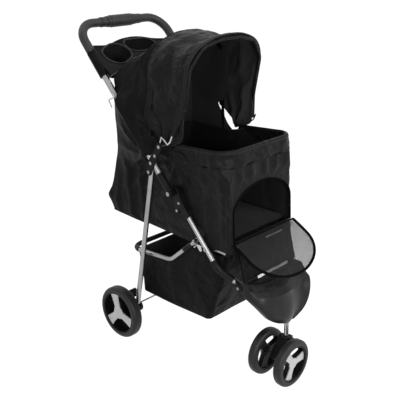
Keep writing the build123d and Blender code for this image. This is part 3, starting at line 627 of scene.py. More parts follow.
# %% A cloth panel
def cloth_panel(name, columns, rows, lay, flat, fold=None, finish=OXFORD):
    """A grid laid by lay(u, v), in millimetres, with its folds, its UV map in metres."""
    deselect()
    bpy.ops.mesh.primitive_grid_add(x_subdivisions=columns, y_subdivisions=rows, size=1)
    panel = bpy.context.object
    panel.name = name
    mesh = panel.data
    places = [(vertex.co.x + 0.5, vertex.co.y + 0.5) for vertex in mesh.vertices]
    cut = mesh.uv_layers.active.data
    for loop in mesh.loops:
        across, up = places[loop.vertex_index]
        cut[loop.index].uv = (across * flat[0], up * flat[1])
    for vertex, place in zip(mesh.vertices, places):
        vertex.co = Vector(lay(*place)) / 1000
    mesh.update()
    if fold:
        normals = [vertex.normal.copy() for vertex in mesh.vertices]
        for vertex, place, normal in zip(mesh.vertices, places, normals):
            vertex.co += normal * fold(*place, vertex.co * 1000) / 1000
    mesh.materials.append(finish)
    return panel


def join_edges(panel, distance=0.3):
    """Weld the grid's meeting edges, where a panel closes on itself."""
    take(panel)
    bpy.ops.object.mode_set(mode="EDIT")
    bpy.ops.mesh.select_all(action="SELECT")
    bpy.ops.mesh.remove_doubles(threshold=distance / 1000)
    bpy.ops.object.mode_set(mode="OBJECT")


print("panel tools: cloth_panel, join_edges")

# %% [markdown]
# A laid panel may be relaxed, folded along its normals, opened and given its wall. The wall
# comes last, so that both faces of the cloth keep the same folds.


# %% Work on a laid panel
def relax(panel, passes):
    """Pull each inner point halfway to its neighbours, as a stretched cloth does."""
    shape = bmesh.new()
    shape.from_mesh(panel.data)
    inner = [vertex for vertex in shape.verts if not vertex.is_boundary]
    for _ in range(passes):
        targets = []
        for vertex in inner:
            near = [edge.other_vert(vertex).co for edge in vertex.link_edges]
            targets.append(sum(near, Vector()) / len(near))
        for vertex, target in zip(inner, targets):
            vertex.co = vertex.co.lerp(target, 0.5)
    shape.to_mesh(panel.data)
    shape.free()
    panel.data.update()


def thicken(panel, thickness):
    """Give a panel the thickness of its cloth, inwards, with its second finish inside."""
    add_modifier(panel, "SOLIDIFY", thickness=mm(thickness), offset=-1, use_even_offset=True,
                 thickness_clamp=1.0, material_offset=len(panel.data.materials) - 1)
    finish_modifiers(panel)
    bpy.ops.object.shade_smooth_by_angle(angle=math.radians(50))


def fold_by_normal(panel, fold):
    """Move each point of a finished form along its normal by fold(point)."""
    mesh = panel.data
    mesh.update()
    normals = [vertex.normal.copy() for vertex in mesh.vertices]
    for vertex, normal in zip(mesh.vertices, normals):
        vertex.co += normal * fold(vertex.co * 1000) / 1000
    mesh.update()


def cut_faces(panel, inside):
    """Delete the faces whose middle, in millimetres, is inside an opening."""
    shape = bmesh.new()
    shape.from_mesh(panel.data)
    gone = [face for face in shape.faces if inside(*(face.calc_center_median() * 1000))]
    bmesh.ops.delete(shape, geom=gone, context="FACES")
    shape.to_mesh(panel.data)
    shape.free()
    print(panel.name, "opened by", len(gone), "faces")


print("work on a panel: relax, thicken, fold_by_normal, cut_faces")

# %% [markdown]
# Every finished piece is handed to the frame. It moves with one body, and may stand for a plain
# solid of the CAD.


# %% Hand a piece to the frame
def fit(piece, body, stands_for=None):
    """Say which body a piece moves with, and the plain solid it stands for."""
    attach(piece, body)
    if stands_for:
        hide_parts(stands_for)
    print(piece.name, "moves with", body)


print("slots are named in the record:", sorted(SLOT_FINISHES)[:3], "and more")

# %% [markdown]
# Piping, bindings and sleeves are cloth tubes round an edge or a wire. A curve with a round
# section could draw them, but a small grid rolled along the route has the weave's own UV map.
# A route is a list of points: straight runs and true arcs, with points at an even gap.


# %% Routes
def rounded_route(points, radii, steps=7):
    """Straight runs joined by true arcs, as the wires and tubes are bent."""
    points = [Vector(point) for point in points]
    route = [points[0]]
    for index in range(1, len(points) - 1):
        corner, radius = points[index], radii[index - 1]
        back = (points[index - 1] - corner).normalized()
        onward = (points[index + 1] - corner).normalized()
        half = back.angle(onward) / 2
        middle = corner + (back + onward).normalized() * radius / math.sin(half)
        first = corner + back * radius / math.tan(half) - middle
        last = corner + onward * radius / math.tan(half) - middle
        axis = first.cross(last).normalized()
        total = first.angle(last)
        for step in range(steps + 1):
            route.append(middle + Quaternion(axis, total * step / steps) @ first)
    route.append(points[-1])
    return route


def evenly(route, gap):
    """The same route with a point at every gap of its length."""
    even = [route[0]]
    for point in route[1:]:
        way = point - even[-1]
        count = max(1, round(way.length / gap))
        start = even[-1]
        even += [start + way * (step + 1) / count for step in range(count)]
    return even


print("route tools: rounded_route, evenly")


# %% Piping and cords along an edge
def route_frames(route):
    """Each point of a route with two directions square to it."""
    frames = []
    side = None
    for index, point in enumerate(route):
        ahead = route[min(index + 1, len(route) - 1)] - route[max(index - 1, 0)]
        ahead.normalize()
        if side is None:
            side = ahead.orthogonal().normalized()
        side = (side - ahead * side.dot(ahead)).normalized()
        frames.append((point, side, ahead.cross(side)))
    return frames


def along_route(route, share):
    """The point at a share of a route's points."""
    place = share * (len(route) - 1)
    index = min(int(place), len(route) - 2)
    return route[index].lerp(route[index + 1], place - index)


def piping(name, route, radius, finish, steps=None, sides=8):
    """A round cord along a route in millimetres."""
    steps = steps or len(route) * 2
    frames = route_frames([along_route(route, step / steps) for step in range(steps + 1)])
    length = sum((route[i + 1] - route[i]).length for i in range(len(route) - 1)) / 1000

    def lay(across, up):
        point, side, other = frames[round(up * steps)]
        turn = across * math.tau
        return point + side * math.cos(turn) * radius + other * math.sin(turn) * radius

    cord = cloth_panel(name, sides, steps, lay, (math.tau * radius / 1000, length), finish=finish)
    join_edges(cord, 0.01)
    take(cord)
    bpy.ops.object.mode_set(mode="EDIT")
    bpy.ops.mesh.select_all(action="DESELECT")
    bpy.ops.mesh.select_non_manifold()
    bpy.ops.mesh.fill_holes(sides=sides + 2)
    bpy.ops.mesh.select_all(action="SELECT")
    bpy.ops.mesh.normals_make_consistent(inside=False)
    bpy.ops.object.mode_set(mode="OBJECT")
    bpy.ops.object.shade_smooth()
    return cord


def join_pieces(name, pieces):
    """One object from several meshes."""
    deselect()
    for piece in pieces:
        piece.select_set(True)
    bpy.context.view_layer.objects.active = pieces[0]
    bpy.ops.object.join()
    pieces[0].name = name
    return pieces[0]


print("cord tools ready")

# %% [markdown]
# ### The cabin tub
# The tub is one long strip of cloth that runs round the cabin: along the left side, across
# the front with its arched doorway, back along the right side and across the rear. It hangs
# from the rim and its hem folds over the floor tube. The front corners are tight at the floor
# and wide at the rim, where the cloth goes round the rim wire. A box with its top off would
# be quicker to make, and would show at every corner: each level of this strip has its own
# rounded outline.

# %% Outline of the tub
FLOOR_TUBE_FRONT, FLOOR_TUBE_REAR = (-214.0, 402.0), (205.0, 413.0)
TUB_REAR = [(400, 256), (442, 257), (456, 271), (492, 254), (577, 225), (640, 212), (690, 204)]
TUB_HALF, HEM_TUCK, RIM_FLARE, TUB_HEEL = 143.4, 2.6, 5.2, 24.0
TUB_STOPS, TUB_FLAT, TUB_CLOTH = (0.15, 0.22, 0.76, 0.84), (1.36, 0.28), 2.2


def hem_height(y):
    """Lower edge of the cabin's cloth: just below the floor tube's axis, higher at its ends."""
    slope = (FLOOR_TUBE_REAR[1] - FLOOR_TUBE_FRONT[1]) / (FLOOR_TUBE_REAR[0] - FLOOR_TUBE_FRONT[0])
    tube = FLOOR_TUBE_FRONT[1] + slope * (y - FLOOR_TUBE_FRONT[0])
    return tube - 4.0 + 10.0 * ease(-150, -190, y)


def front_face(z):
    """Y of the outside of the front panel at a height."""
    return -234.5 + 0.064 * (z - 430.0)


def ring(u, stops, half, rear, front, heel, nose):
    """Point of a rounded rectangle in plan, from its rear middle round by the left."""
    share = 2 * min(u, 1.0 - u)
    rear_side, heel_end, nose_start, front_side = stops
    if share <= rear_side:
        x, y = (half - heel) * share / rear_side, rear
    elif share <= heel_end:
        turn = (share - rear_side) / (heel_end - rear_side) * math.pi / 2
        x, y = half - heel + heel * math.sin(turn), rear - heel + heel * math.cos(turn)
    elif share <= nose_start:
        part = (share - heel_end) / (nose_start - heel_end)
        x, y = half, rear - heel + part * (front + nose - rear + heel)
    elif share <= front_side:
        turn = (share - nose_start) / (front_side - nose_start) * math.pi / 2
        x, y = half - nose + nose * math.cos(turn), front + nose - nose * math.sin(turn)
    else:
        x, y = (half - nose) * (1.0 - share) / (1.0 - front_side), front
    return (-x if u <= 0.5 else x), y


def tub_ring(u, z):
    """The tub's outline at a height."""
    half = TUB_HALF - HEM_TUCK * ease(416, 430, z) + RIM_FLARE * ease(575, 640, z)
    nose = 14.0 + 36.0 * ease(600, 690, z)
    return ring(u, TUB_STOPS, half, reading(TUB_REAR, z), front_face(z), TUB_HEEL, nose)


print("rear middle of the tub at the rim:", [round(value, 1) for value in tub_ring(0.0, 684)])


# %% Cabin tub
def lay_tub(u, v):
    """The tub from its hem, v = 0, to its upper edge, v = 1."""
    y_level = tub_ring(u, 500.0)[1]
    low = hem_height(y_level)
    top = 684.0 - 12.0 * ease(-190, -20, y_level) - 10.0 * ease(-20, 60, y_level)
    z = low + (top - low) * v
    x, y = tub_ring(u, z)
    return x, y, z


FOLD_PULL = (-20.0, 640.0)


def fold_tub(u, v, point):
    """Slack between the rim and the floor, gathers under the rim, pulls at the fold joint."""
    x, y, z = point
    inside = ease(0.0, 0.10, v) * ease(1.0, 0.9, v)
    side = ease(100, 135, abs(x)) * ease(-225, -205, y)
    fan, pull = rays(point, FOLD_PULL, 9.0, 3.0, 120, 2)
    fan *= ease(230, 60, pull) * ease(8, 50, pull)
    hang = crest(y * 0.085 + 4.0 * ripple((x, y, z * 0.3), 110, 9)) * ease(-60, -150, y)
    slack = ripple(point, 85, 5) * 4.0 + ripple(point, 30, 9) * 1.6 + 1.1 * wrinkle(point, 48, 31)
    beside = (1 - side) * ease(118, 134, abs(x)) + (1 - side) * ease(600, 625, z) * 0.8
    upright = crest(x * 0.12 + 3.0 * ripple((x, y, z * 0.25), 70, 3))
    creases = 3.0 * ripple(point, 40, 7) + 1.6 * wrinkle((x, y, z * 0.5), 44, 37)
    front = beside * (5.0 * upright + creases)
    inward = 1.0 - 0.75 * ease(565, 470, z) * ease(-95, -60, y) * ease(0, -30, y)
    return inside * (side * inward * (3.6 * fan + 3.6 * hang + slack) + front)


tub = cloth_panel("cabin_tub", 260, 56, lay_tub, TUB_FLAT, fold_tub)
join_edges(tub)
print("tub points:", len(tub.data.vertices))

# %% [markdown]
# The doorway is cut out of the front panel. A boolean could cut it, with long thin faces along
# the arch. Here the faces inside the arch are deleted, and the points left along the cut are
# moved on to the arch's true line, which the piping then covers. The cabin's floor is a
# second flat panel inside.

# %% Doorway
DOOR_HALF, DOOR_SPRING, DOOR_RISE, DOOR_SILL = 128.0, 515.0, 77.0, 440.0


def door_arch(share):
    """Point of the doorway's outline, from its lower left corner over the top, as (x, z)."""
    leg = DOOR_SPRING - DOOR_SILL
    arc = math.pi / 2 * (DOOR_HALF + DOOR_RISE)
    run = share * (2 * leg + arc)
    if run < leg:
        return -DOOR_HALF, DOOR_SILL + run
    if run > leg + arc:
        return DOOR_HALF, DOOR_SPRING - (run - leg - arc)
    turn = (run - leg) / arc * math.pi
    return -DOOR_HALF * math.cos(turn), DOOR_SPRING + DOOR_RISE * math.sin(turn)


def in_doorway(x, y, z):
    """Whether a point lies inside the doorway of the front panel."""
    if y > -200 or z < DOOR_SILL or abs(x) > DOOR_HALF:
        return False
    return z < DOOR_SPRING or (x / DOOR_HALF) ** 2 + ((z - DOOR_SPRING) / DOOR_RISE) ** 2 < 1


def draw_to_arch(piece):
    """Move the cut edge on to the arch."""
    outline = [door_arch(step / 400) for step in range(401)]
    outline += [(DOOR_HALF - 2 * DOOR_HALF * step / 120, DOOR_SILL) for step in range(121)]
    shape = bmesh.new()
    shape.from_mesh(piece.data)
    for vertex in shape.verts:
        x, y, z = vertex.co * 1000
        if vertex.is_boundary and y < -200 and 430 < z < 600:
            near = min(outline, key=lambda spot: (spot[0] - x) ** 2 + (spot[1] - z) ** 2)
            vertex.co = mm(near[0], front_face(near[1]), near[1])
    shape.to_mesh(piece.data)
    shape.free()


cut_faces(tub, in_doorway)
draw_to_arch(tub)
# The tub's inner faces take the lighter lining: painted light in the cabin's shade.
tub.data.materials.append(LIT_CABIN_LINING)
thicken(tub, TUB_CLOTH)
fit(tub, "front_frame", "cabin_shell")

# %% Doorway piping and cabin floor
FLOOR_FLAT = (0.276, 0.478)


def lay_floor(u, v):
    """The floor panel, stretched over the floor tube, with a slight unevenness."""
    across, along = 276 * u, 478 * v
    return -138 + across, -228 + along, 422.0 + 0.8 * ripple((across, along, 0), 90, 4)


arch = [door_arch(step / 90) for step in range(91)]
arch_route = [Vector((x, front_face(z) - 1.2, z)) for x, z in arch]
door_piping = piping("doorway_piping", arch_route, 2.4, BINDING, 180)
cabin_floor = cloth_panel("cabin_floor", 40, 70, lay_floor, FLOOR_FLAT)
thicken(cabin_floor, 1.6)
fit(door_piping, "front_frame")
fit(cabin_floor, "front_frame")

# %% [markdown]
# ### The rear shell
# Behind the hood the cloth is one wide shell. It goes outside the handle tubes, which show as
# ridges under it, closes over the rear bow at the top, and drops past the tray to the floor.
# It could be sewn from flat panels, but its form changes at every level. The table gives, for
# one side, where the cloth runs at each level: at the hood's seam, over the handle tube, round
# the rear corner and at the middle of the back.

# %% Rear shell
SHELL_LEVELS = [
    # height share, seam, over the handle tube, rear corner, middle of the back
    (0.000, (146, 108, 404), (146, 150, 404), (146, 268, 408), (0, 268, 408)),
    (0.060, (146, 103, 438), (146, 146, 438), (150, 281, 438), (0, 277, 438)),
    (0.085, (146, 100, 456), (146, 144, 456), (152, 292, 456), (0, 288, 456)),
    (0.140, (146, 94, 494), (146, 136, 492), (149, 273, 492), (0, 270, 492)),
    (0.220, (146, 86, 552), (147, 124, 548), (147, 256, 546), (0, 254, 547)),
    (0.290, (148, 79, 602), (150, 104, 600), (151, 241, 588), (0, 239, 588)),
    (0.320, (164, 72, 618), (174, 92, 616), (155, 232, 608), (0, 231, 608)),
    (0.345, (183, 66, 637), (188, 80, 635), (159, 224, 626), (0, 224, 624)),
    (0.365, (176, 43, 652), (191.5, 66, 650), (163, 218, 644), (0, 218, 642)),
    (0.410, (158, 48, 674), (192.5, 87, 674), (167, 214.5, 668), (0, 213, 668)),
    (0.460, (156, 68, 706), (192.5, 117, 705), (170, 212, 700), (0, 210, 700)),
    (0.520, (160, 92, 744), (192, 154, 744), (171, 213, 744), (0, 210, 744)),
    (0.560, (161, 86, 775), (190, 182, 772), (170, 214, 772), (0, 210, 772)),
    (0.590, (161, 78, 800), (182, 200, 795), (166, 215, 797), (0, 209, 797)),
    (0.620, (161, 74, 824), (165, 178, 820), (163.5, 217, 820), (0, 209, 815)),
    (0.650, (160, 72, 846), (162, 150, 850), (163.5, 222, 848), (0, 226, 842)),
    (0.665, (160, 72, 856), (162, 142, 864), (162.5, 205, 866), (0, 220, 850)),
    (0.700, (158, 72, 886), (162, 118, 902), (160, 172, 892), (0, 198, 872)),
    (0.735, (154, 72, 905), (158, 105, 916), (156, 140, 910), (0, 176, 890)),
    (0.780, (147, 72, 925), (154, 94, 928), (150, 124, 918), (0, 158, 908)),
    (0.870, (112, 72, 958), (124, 82, 955), (96, 100, 950), (0, 114, 944)),
    (1.000, (48, 71, 979.5), (34, 71, 981), (18, 71, 982), (0, 71, 982.3)),
]
SHELL_STOPS = [0.0, 0.30, 0.60, 1.0]


def key_points(level, spots):
    """The shell's key points at a level, each as [x, y, z]."""
    return [[reading([(row[0], row[1 + spot][axis]) for row in SHELL_LEVELS], level)
             for axis in range(3)] for spot in spots]


def lay_shell(u, v):
    """The shell from the right seam round the back to the left seam, hem to crown."""
    share = 2 * min(u, 1.0 - u)
    leg = sum(share > stop for stop in SHELL_STOPS[1:3])
    part = (share - SHELL_STOPS[leg]) / (SHELL_STOPS[leg + 1] - SHELL_STOPS[leg])
    first, second = key_points(v, (leg, leg + 1))
    x, y, z = (a + (b - a) * part for a, b in zip(first, second))
    return (x if u <= 0.5 else -x), y, z


# The shell takes the darker copy of the oxford: painted shade behind the cabin.
shell = cloth_panel("rear_shell", 150, 130, lay_shell, (0.82, 0.72), finish=SHADED_OXFORD)
relax(shell, 3)
print("shell points:", len(shell.data.vertices))

# %% [markdown]
# The shell's folds fan out from the fold joint, where the cloth is held, and hang below it.
# They die out at the seam and round the rear corner, where the cloth is pulled tight. They
# could be rows of the table, but as a formula they can be changed without changing the form.
# A hole is then cut on each side, where the handle tube comes out through the cloth.

# %% Rear shell, folds and wall
JOINT_PULL = (60.0, 640.0)
REAR_CORNER = [(404, 268), (456, 292), (492, 273), (546, 256), (588, 241), (644, 218), (700, 212),
               (830, 217), (848, 222), (866, 205), (892, 172), (916, 130)]


def shell_folds(point):
    """The rear shell's folds as a reading of the place alone."""
    x, y, z = point
    side = ease(120, 158, abs(x))
    seam = ease(70, 92, y) * ease(400, 425, z)
    fan, pull = rays(point, JOINT_PULL, 13.0, 2.6, 150, 1)
    fan *= ease(10, 60, pull) * ease(280, 90, pull)
    hang = crest(y * 0.11 + 4.0 * ripple((x, y, z * 0.3), 120, 14)) * ease(640, 560, z)
    drape = ripple((x, y, z * 0.55), 62, 4) * 5.0 + ripple((x, y, z * 0.7), 24, 8) * 1.6
    drape += 1.6 * wrinkle((x, y, z * 0.6), 52, 33)
    roof = ease(840, 900, z)
    wall = side * (4.4 * fan + 3.4 * hang + drape) + (1 - side) * drape * 0.8
    rear = reading(REAR_CORNER, z)
    corner = 1.0 - 0.8 * ease(rear - 55.0, rear - 12.0, y)
    return (wall * (1 - roof) + roof * drape * 0.5) * seam * corner


HOLE_AT, HOLE_RADIUS, TUBE_WAY = (173.0, 204.0, 800.0), 9.0, (0.677, 0.736)


def in_tube_hole(x, y, z):
    """Whether a point is where one of the handle's two tubes passes through the cloth."""
    off = (y - HOLE_AT[1]) * TUBE_WAY[1] - (z - HOLE_AT[2]) * TUBE_WAY[0]
    return z > 780 and math.hypot(abs(x) - HOLE_AT[0], off) < HOLE_RADIUS


fold_by_normal(shell, shell_folds)
cut_faces(shell, in_tube_hole)
shell.data.materials.append(LIT_LINING)
thicken(shell, 1.8)
print("shell points with its wall:", len(shell.data.vertices))

# %% [markdown]
# Inside the shell hangs a loose lining. The shell's second face could stand for it, but it
# hides the wire bow between the two. It is laid from the same table and drawn in to run
# inside the handle tubes.


# %% Rear lining
def lay_lining(u, v):
    """The lining runs inside the handle tubes, a few millimetres within the shell."""
    x, y, z = lay_shell(u, 0.29 + 0.71 * v)
    roof = ease(840, 900, z)
    front = ease(0.16, 0.0, min(u, 1 - u)) * ease(738, 756, z)
    limit = 155.0 - 4.0 * roof - 12.0 * front
    x = max(-limit, min(limit, x))
    return x * (1 - 0.02 * roof), y - 5.0 * ease(90, 150, y) - 34.0 * front, z - 4.0 * roof


# The lining takes the lighter lining cloth: painted light in the shell's shade.
lining = cloth_panel("rear_lining", 120, 90, lay_lining, (0.78, 0.50), finish=LIT_LINING)
relax(lining, 3)
fold_by_normal(lining, lambda point: 1.4 * ripple(point, 50, 21) * ease(72, 95, point[1]))
thicken(lining, 1.0)
for piece in (lining, shell):
    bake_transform(piece)
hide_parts("canopy_back")
print("lining points:", len(lining.data.vertices))

# %% [markdown]
# ### The hood
# The hood is one sheet, stretched from the rear bow to the front bow and hanging a little
# between them. Its rear edge is sewn to the shell along the seam, and its front edge folds
# round the front bow as a hem with two rows of piping. Lofting a surface over the bows would
# give the form, but not the sag or the folds that grow towards its two feet.

# %% Hood
SEAM = [
    # share of one side, |x|, y, z
    (0.00, (162, 94, 742)), (0.05, (162, 87, 770)), (0.10, (162, 79, 800)),
    (0.17, (161, 72, 846)), (0.24, (158, 72, 890)), (0.30, (147, 72, 925)),
    (0.38, (112, 72, 958)), (0.45, (50, 71, 979)), (0.50, (0, 71, 982.5)),
]
BROW = [
    (0.00, (158, 4, 675)), (0.04, (153, -30, 690)), (0.07, (150, -52, 705)),
    (0.15, (149, -59, 790)), (0.24, (153, -76, 888)), (0.30, (146, -82, 926)),
    (0.38, (113, -90, 962)), (0.45, (52, -96, 984)), (0.50, (0, -98, 988)),
]
CROWN_SAG, SIDE_SAG, HEM_STEP, FOOT_PULL = 8.0, 0.022, 0.9, (10.0, 660.0)


def on_curve(table, share):
    """Point of a one-sided table at a share, mirrored beyond the crown."""
    near = min(share, 1.0 - share)
    x, y, z = (reading([(key, point[axis]) for key, point in table], near) for axis in range(3))
    return Vector((-x if share <= 0.5 else x, y, z))


def lay_hood(u, v):
    """The hood from the seam, v = 0, to the front bow, v = 1."""
    rear, front = on_curve(SEAM, u), on_curve(BROW, u)
    point = rear.lerp(front, v)
    sag = 4 * v * (1 - v)
    crown = ease(0.18, 0.36, min(u, 1 - u))
    point.z -= CROWN_SAG * sag * crown
    point.x *= 1 - SIDE_SAG * sag * (1 - crown)
    return point


def fold_hood(u, v, point):
    """Folds between the bows, which grow towards the two feet, and the hem's step."""
    near = min(u, 1 - u)
    inner = ease(0.0, 0.16, v) * ease(1.0, 0.8, v)
    foot = ease(0.24, 0.02, near)
    x, y, z = point
    fan = rays(point, FOOT_PULL, 11.0, 2.5, 120, 6)[0] * foot * 8.0
    slant = crest((y * 0.5 + z * 0.3) * 0.12 + 3.0 * ripple(point, 90, 3)) * 5.0
    slack = ripple(point, 75, 11) * 7.0 + ripple(point, 30, 13) * 3.4 + 2.2 * wrinkle(point, 46, 35)
    hem = HEM_STEP * ease(0.83, 0.85, v) * ease(0.03, 0.07, near)
    return inner * (fan + slant + slack) + hem


# The hood's inner face takes the lighter lining cloth: painted light under the hood.
hood = cloth_panel("hood", 200, 56, lay_hood, (1.15, 0.19), fold_hood, finish=LIT_LINING)
hood.data.materials.append(OXFORD)
thicken(hood, 1.8)
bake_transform(hood)
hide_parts("canopy_hood")
print("hood points:", len(hood.data.vertices))

# %% [markdown]
# Each bow is a wire in a sewn sleeve. The sleeve is a cloth tube along the wire's own line:
# straight legs and arcs of a given radius, as the wire was bent on its machine. The wire
# itself could take a cloth finish, but a sleeve is thicker, and its weave runs along it.

# %% Bow sleeves
BOW_SPRING = 893.0


def bow_arch(half, crown, foot, place):
    """Corner points of a bow's arch, from its left foot over the crown to its right foot."""
    rise = crown - BOW_SPRING
    left = [(-half, foot), (-half, BOW_SPRING + 0.16 * rise),
            (-0.72 * half, BOW_SPRING + 0.82 * rise), (-0.26 * half, crown)]
    return [(x, place(z), z) for x, z in left + [(-x, z) for x, z in reversed(left)]]


def front_place(z):
    """How far forward the front bow is at a height."""
    return -58.0 - 0.18 * (z - 770.0)


def bow_sleeve(name, foot, arch, foot_bend, radius, finish):
    """The sleeve of one bow, with the same foot on both sides."""
    corners = [(-foot[0], *foot[1:]), *arch, foot]
    bends = [foot_bend, 40, 45, 60, 60, 45, 40, foot_bend]
    return piping(name, evenly(rounded_route(corners, bends), 9), radius, finish, sides=12)


front_sleeve = bow_sleeve("front_bow_sleeve", (175.8, -38.0, 712.0),
                          bow_arch(147.0, 976.0, 790.0, front_place), 45, 5.4, OXFORD)
rear_sleeve = bow_sleeve("rear_bow_sleeve", (159.0, 66.0, 648.0),
                         bow_arch(150.0, 970.0, 740.0, lambda z: 66.0), 90, 4.4, BINDING)
fit(front_sleeve, "canopy_bow")
fit(rear_sleeve, "handle")

# %% [markdown]
# A cord covers the seam where the hood meets the shell, and two cords run along the hood's
# brow. Each follows the same tables as the sheet's edge, so it can't drift off the cloth.


# %% Hood cords
def brow_cord(name, offset):
    """Piping round the hood's front edge at a small offset back from it."""
    route = []
    for step in range(121):
        point, back = (on_curve(table, 0.02 + 0.96 * step / 120) for table in (BROW, SEAM))
        route.append(point + (back - point).normalized() * offset)
    return piping(name, route, 1.9, PIPING, 240)


seam_route = [on_curve(SEAM, 0.004 + 0.992 * step / 140) + Vector((0, 1.0, 0.8))
              for step in range(141)]
seam_cord = piping("hood_seam", seam_route, 1.7, BINDING, 280)
brow_pipings = join_pieces(
    "hood_piping", [brow_cord("edge_cord", -0.5), brow_cord("inner_cord", 6.5)])
fit(seam_cord, "handle")
fit(brow_pipings, "canopy_bow")

# %% [markdown]
# ### The rim band
# A strip of cloth is turned over the rim wire and sewn along its lower edges. It is a little
# longer than the wire, so it lies in low, slack folds. It could be left out, as part of the
# tub, but it turns with the rim wire when the frame folds, so it is its own sheet.

# %% Line of the rim wire
RIM_PIVOT, RIM_SLOPE, RIM_FRONT, RIM_BEND = (3.0, 682.0), 0.0682, 97.0, 53.0
RIM_SIDE_END, RIM_TURN_END = 0.52, 0.74
WRAP_RADIUS, WRAP_SHARE = 5.4, 0.24


def rim_line(share):
    """Point of the rim wire's centre line from the left joint round the front to the right."""
    near = min(share, 1 - share) * 2
    if near <= RIM_SIDE_END:
        y = -22.0 - near / RIM_SIDE_END * 142.0
        x = 146.0 + 4.0 * (RIM_PIVOT[0] - y) / 220.0
    elif near <= RIM_TURN_END:
        angle = (near - RIM_SIDE_END) / (RIM_TURN_END - RIM_SIDE_END) * math.pi / 2
        x = RIM_FRONT + RIM_BEND * math.cos(angle)
        y = -164.0 - RIM_BEND * math.sin(angle)
    else:
        x, y = RIM_FRONT * (1 - (near - RIM_TURN_END) / (1 - RIM_TURN_END)), -217.0
    z = RIM_PIVOT[1] + RIM_SLOPE * (RIM_PIVOT[0] - y)
    return Vector((-x if share <= 0.5 else x, y, z))


print("rim wire's front middle:", [round(value, 1) for value in rim_line(0.5)])


# %% Rim band
def lay_rim(u, v):
    """The strip: its outer edge at v = 0, over the wire at 0.5, its inner edge at v = 1."""
    middle = rim_line(u)
    ahead = (rim_line(min(u + 0.004, 1.0)) - rim_line(max(u - 0.004, 0.0))).normalized()
    out = Vector((ahead.y, -ahead.x, 0.0)).normalized() * (1 if v < 0.5 else -1)
    near = min(u, 1 - u)
    drop = 10.0 + 33.0 * ease(0.0, 0.20, near) + 2.0 * ripple((u * 900, 0, 0), 60, 2)
    length = abs(v - 0.5) * 2
    if length < WRAP_SHARE:
        angle = length / WRAP_SHARE * math.pi / 2
        lift = Vector((0, 0, WRAP_RADIUS * math.cos(angle)))
        return middle + out * (WRAP_RADIUS * math.sin(angle)) + lift
    part = (length - WRAP_SHARE) / (1 - WRAP_SHARE)
    spread = WRAP_RADIUS + (2.4 if v < 0.5 else 0.6) * part
    return middle + out * spread - Vector((0, 0, drop * part))


def fold_rim(u, v, point):
    """Slack of the turned-over band: long low folds, a seam near its edge."""
    length, run = abs(v - 0.5) * 2, u * 860.0
    waves = crest(run * 0.06 + 4.0 * ripple((run, length * 20, 0), 60, 5))
    lines = crest(length * 9.0 + 2.5 * ripple((run, 0, 0), 70, 8)) * 0.5
    seam = -0.9 * math.exp(-((length - 0.86) / 0.03) ** 2)
    creases = 2.2 * ripple(point, 30, 4) + 1.2 * wrinkle(point, 30, 39)
    return (2.0 * waves + 1.6 * lines + creases) * ease(0.26, 0.5, length) + seam


def rim_cord_at(name, v, margin, radius, finish):
    """A cord along the band at a place across it."""
    route = [Vector(lay_rim(margin + (1 - 2 * margin) * step / 160, v)) for step in range(161)]
    return piping(name, route, radius, finish, 320)


rim_cloth = cloth_panel("rim_cloth_band", 260, 34, lay_rim, (0.90, 0.12), fold_rim)
thicken(rim_cloth, 1.4)
rim_cord = join_pieces("rim_piping", [rim_cord_at("rim_cord", 0.005, 0.01, 1.4, BINDING),
                                      rim_cord_at("top_cord", 0.36, 0.02, 1.3, PIPING)])
fit(rim_cord, "rim_bow")
fit(rim_cloth, "rim_bow", "rim_band")

# %% [markdown]
# ### The basket
# The basket is a soft bag. Its rear edge is sewn round the hoop, its sides hang from straps,
# and its floor sags between them. Five flat panels would be a crate. This is one sheet, laid
# from the middle of the floor outwards and up the walls, so it has no hard edges.

# %% Basket
BASKET_EDGE = [(-192, 387), (-152, 388), (-80, 388), (-50, 362), (-20, 332), (20, 308),
               (100, 299), (176, 292), (190, 292)]
BAG_STOPS, FLOOR_PART, FLOOR_MIDDLE = (0.20, 0.26, 0.74, 0.80), 0.36, -6.0


def lay_basket(u, v):
    """The bag from the middle of its floor, v = 0, to its top edge, v = 1."""
    floor_x, floor_y = ring(u, BAG_STOPS, 139.0, 146.0, -150.0, 14.0, 14.0)
    low_z = 157.0 + 7.0 * ease(20, -150, floor_y)
    if v <= FLOOR_PART:
        part = v / FLOOR_PART
        y = FLOOR_MIDDLE + (floor_y - FLOOR_MIDDLE) * part
        return floor_x * part, y, low_z - 4.0 * (1 - part ** 4)
    part = (v - FLOOR_PART) / (1 - FLOOR_PART)
    top_x, top_y = ring(u, BAG_STOPS, 140.0, 177.0, -190.0, 20.0, 20.0)
    top_z = reading(BASKET_EDGE, top_y)
    lean = 16.0 * ease(-120, -148, floor_y) * math.sin(math.pi * min(part * 0.85, 1.0))
    belly = 9.0 * ease(120, 146, floor_y) * math.sin(math.pi * part)
    y = floor_y + (top_y - floor_y) * part - lean - belly
    return floor_x + (top_x - floor_x) * part, y, low_z + (top_z - low_z) * part


def basket_folds(point):
    """Soft dents of an empty bag, with folds that run up to its straps."""
    x, y, z = point
    wall = ease(160, 185, z)
    slant = math.sin(0.055 * (y - x) + 2.4 * ripple(point, 100, 3)) * 1.6
    edge = ease(152, 172, z)
    dents = ripple(point, 70, 6) * 4.0 + ripple(point, 24, 2) * 1.2
    return edge * wall * (slant + dents) + (1 - wall) * ripple(point, 90, 1) * 1.5


# The bag takes the darker copy of the oxford: painted shade under the cabin.
bag = cloth_panel("basket_bag", 200, 70, lay_basket, (1.26, 0.38), finish=SHADED_OXFORD)
join_edges(bag)
fold_by_normal(bag, basket_folds)
bag.data.materials.append(LIT_LINING)
thicken(bag, 1.8)
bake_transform(bag)
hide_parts("basket")
print("basket points:", len(bag.data.vertices))

# %% [markdown]
# The basket's rear edge is a sleeve that the hoop runs through. It ends just past each rear
# corner, and the bare tube shows from there to the front, where a second short sleeve covers
# the hoop up to its pivot. The cabin's hem is a sleeve of the same kind on the floor tube. The
# tubes could take a cloth finish there, but a sleeve has a thickness and ends of its own.

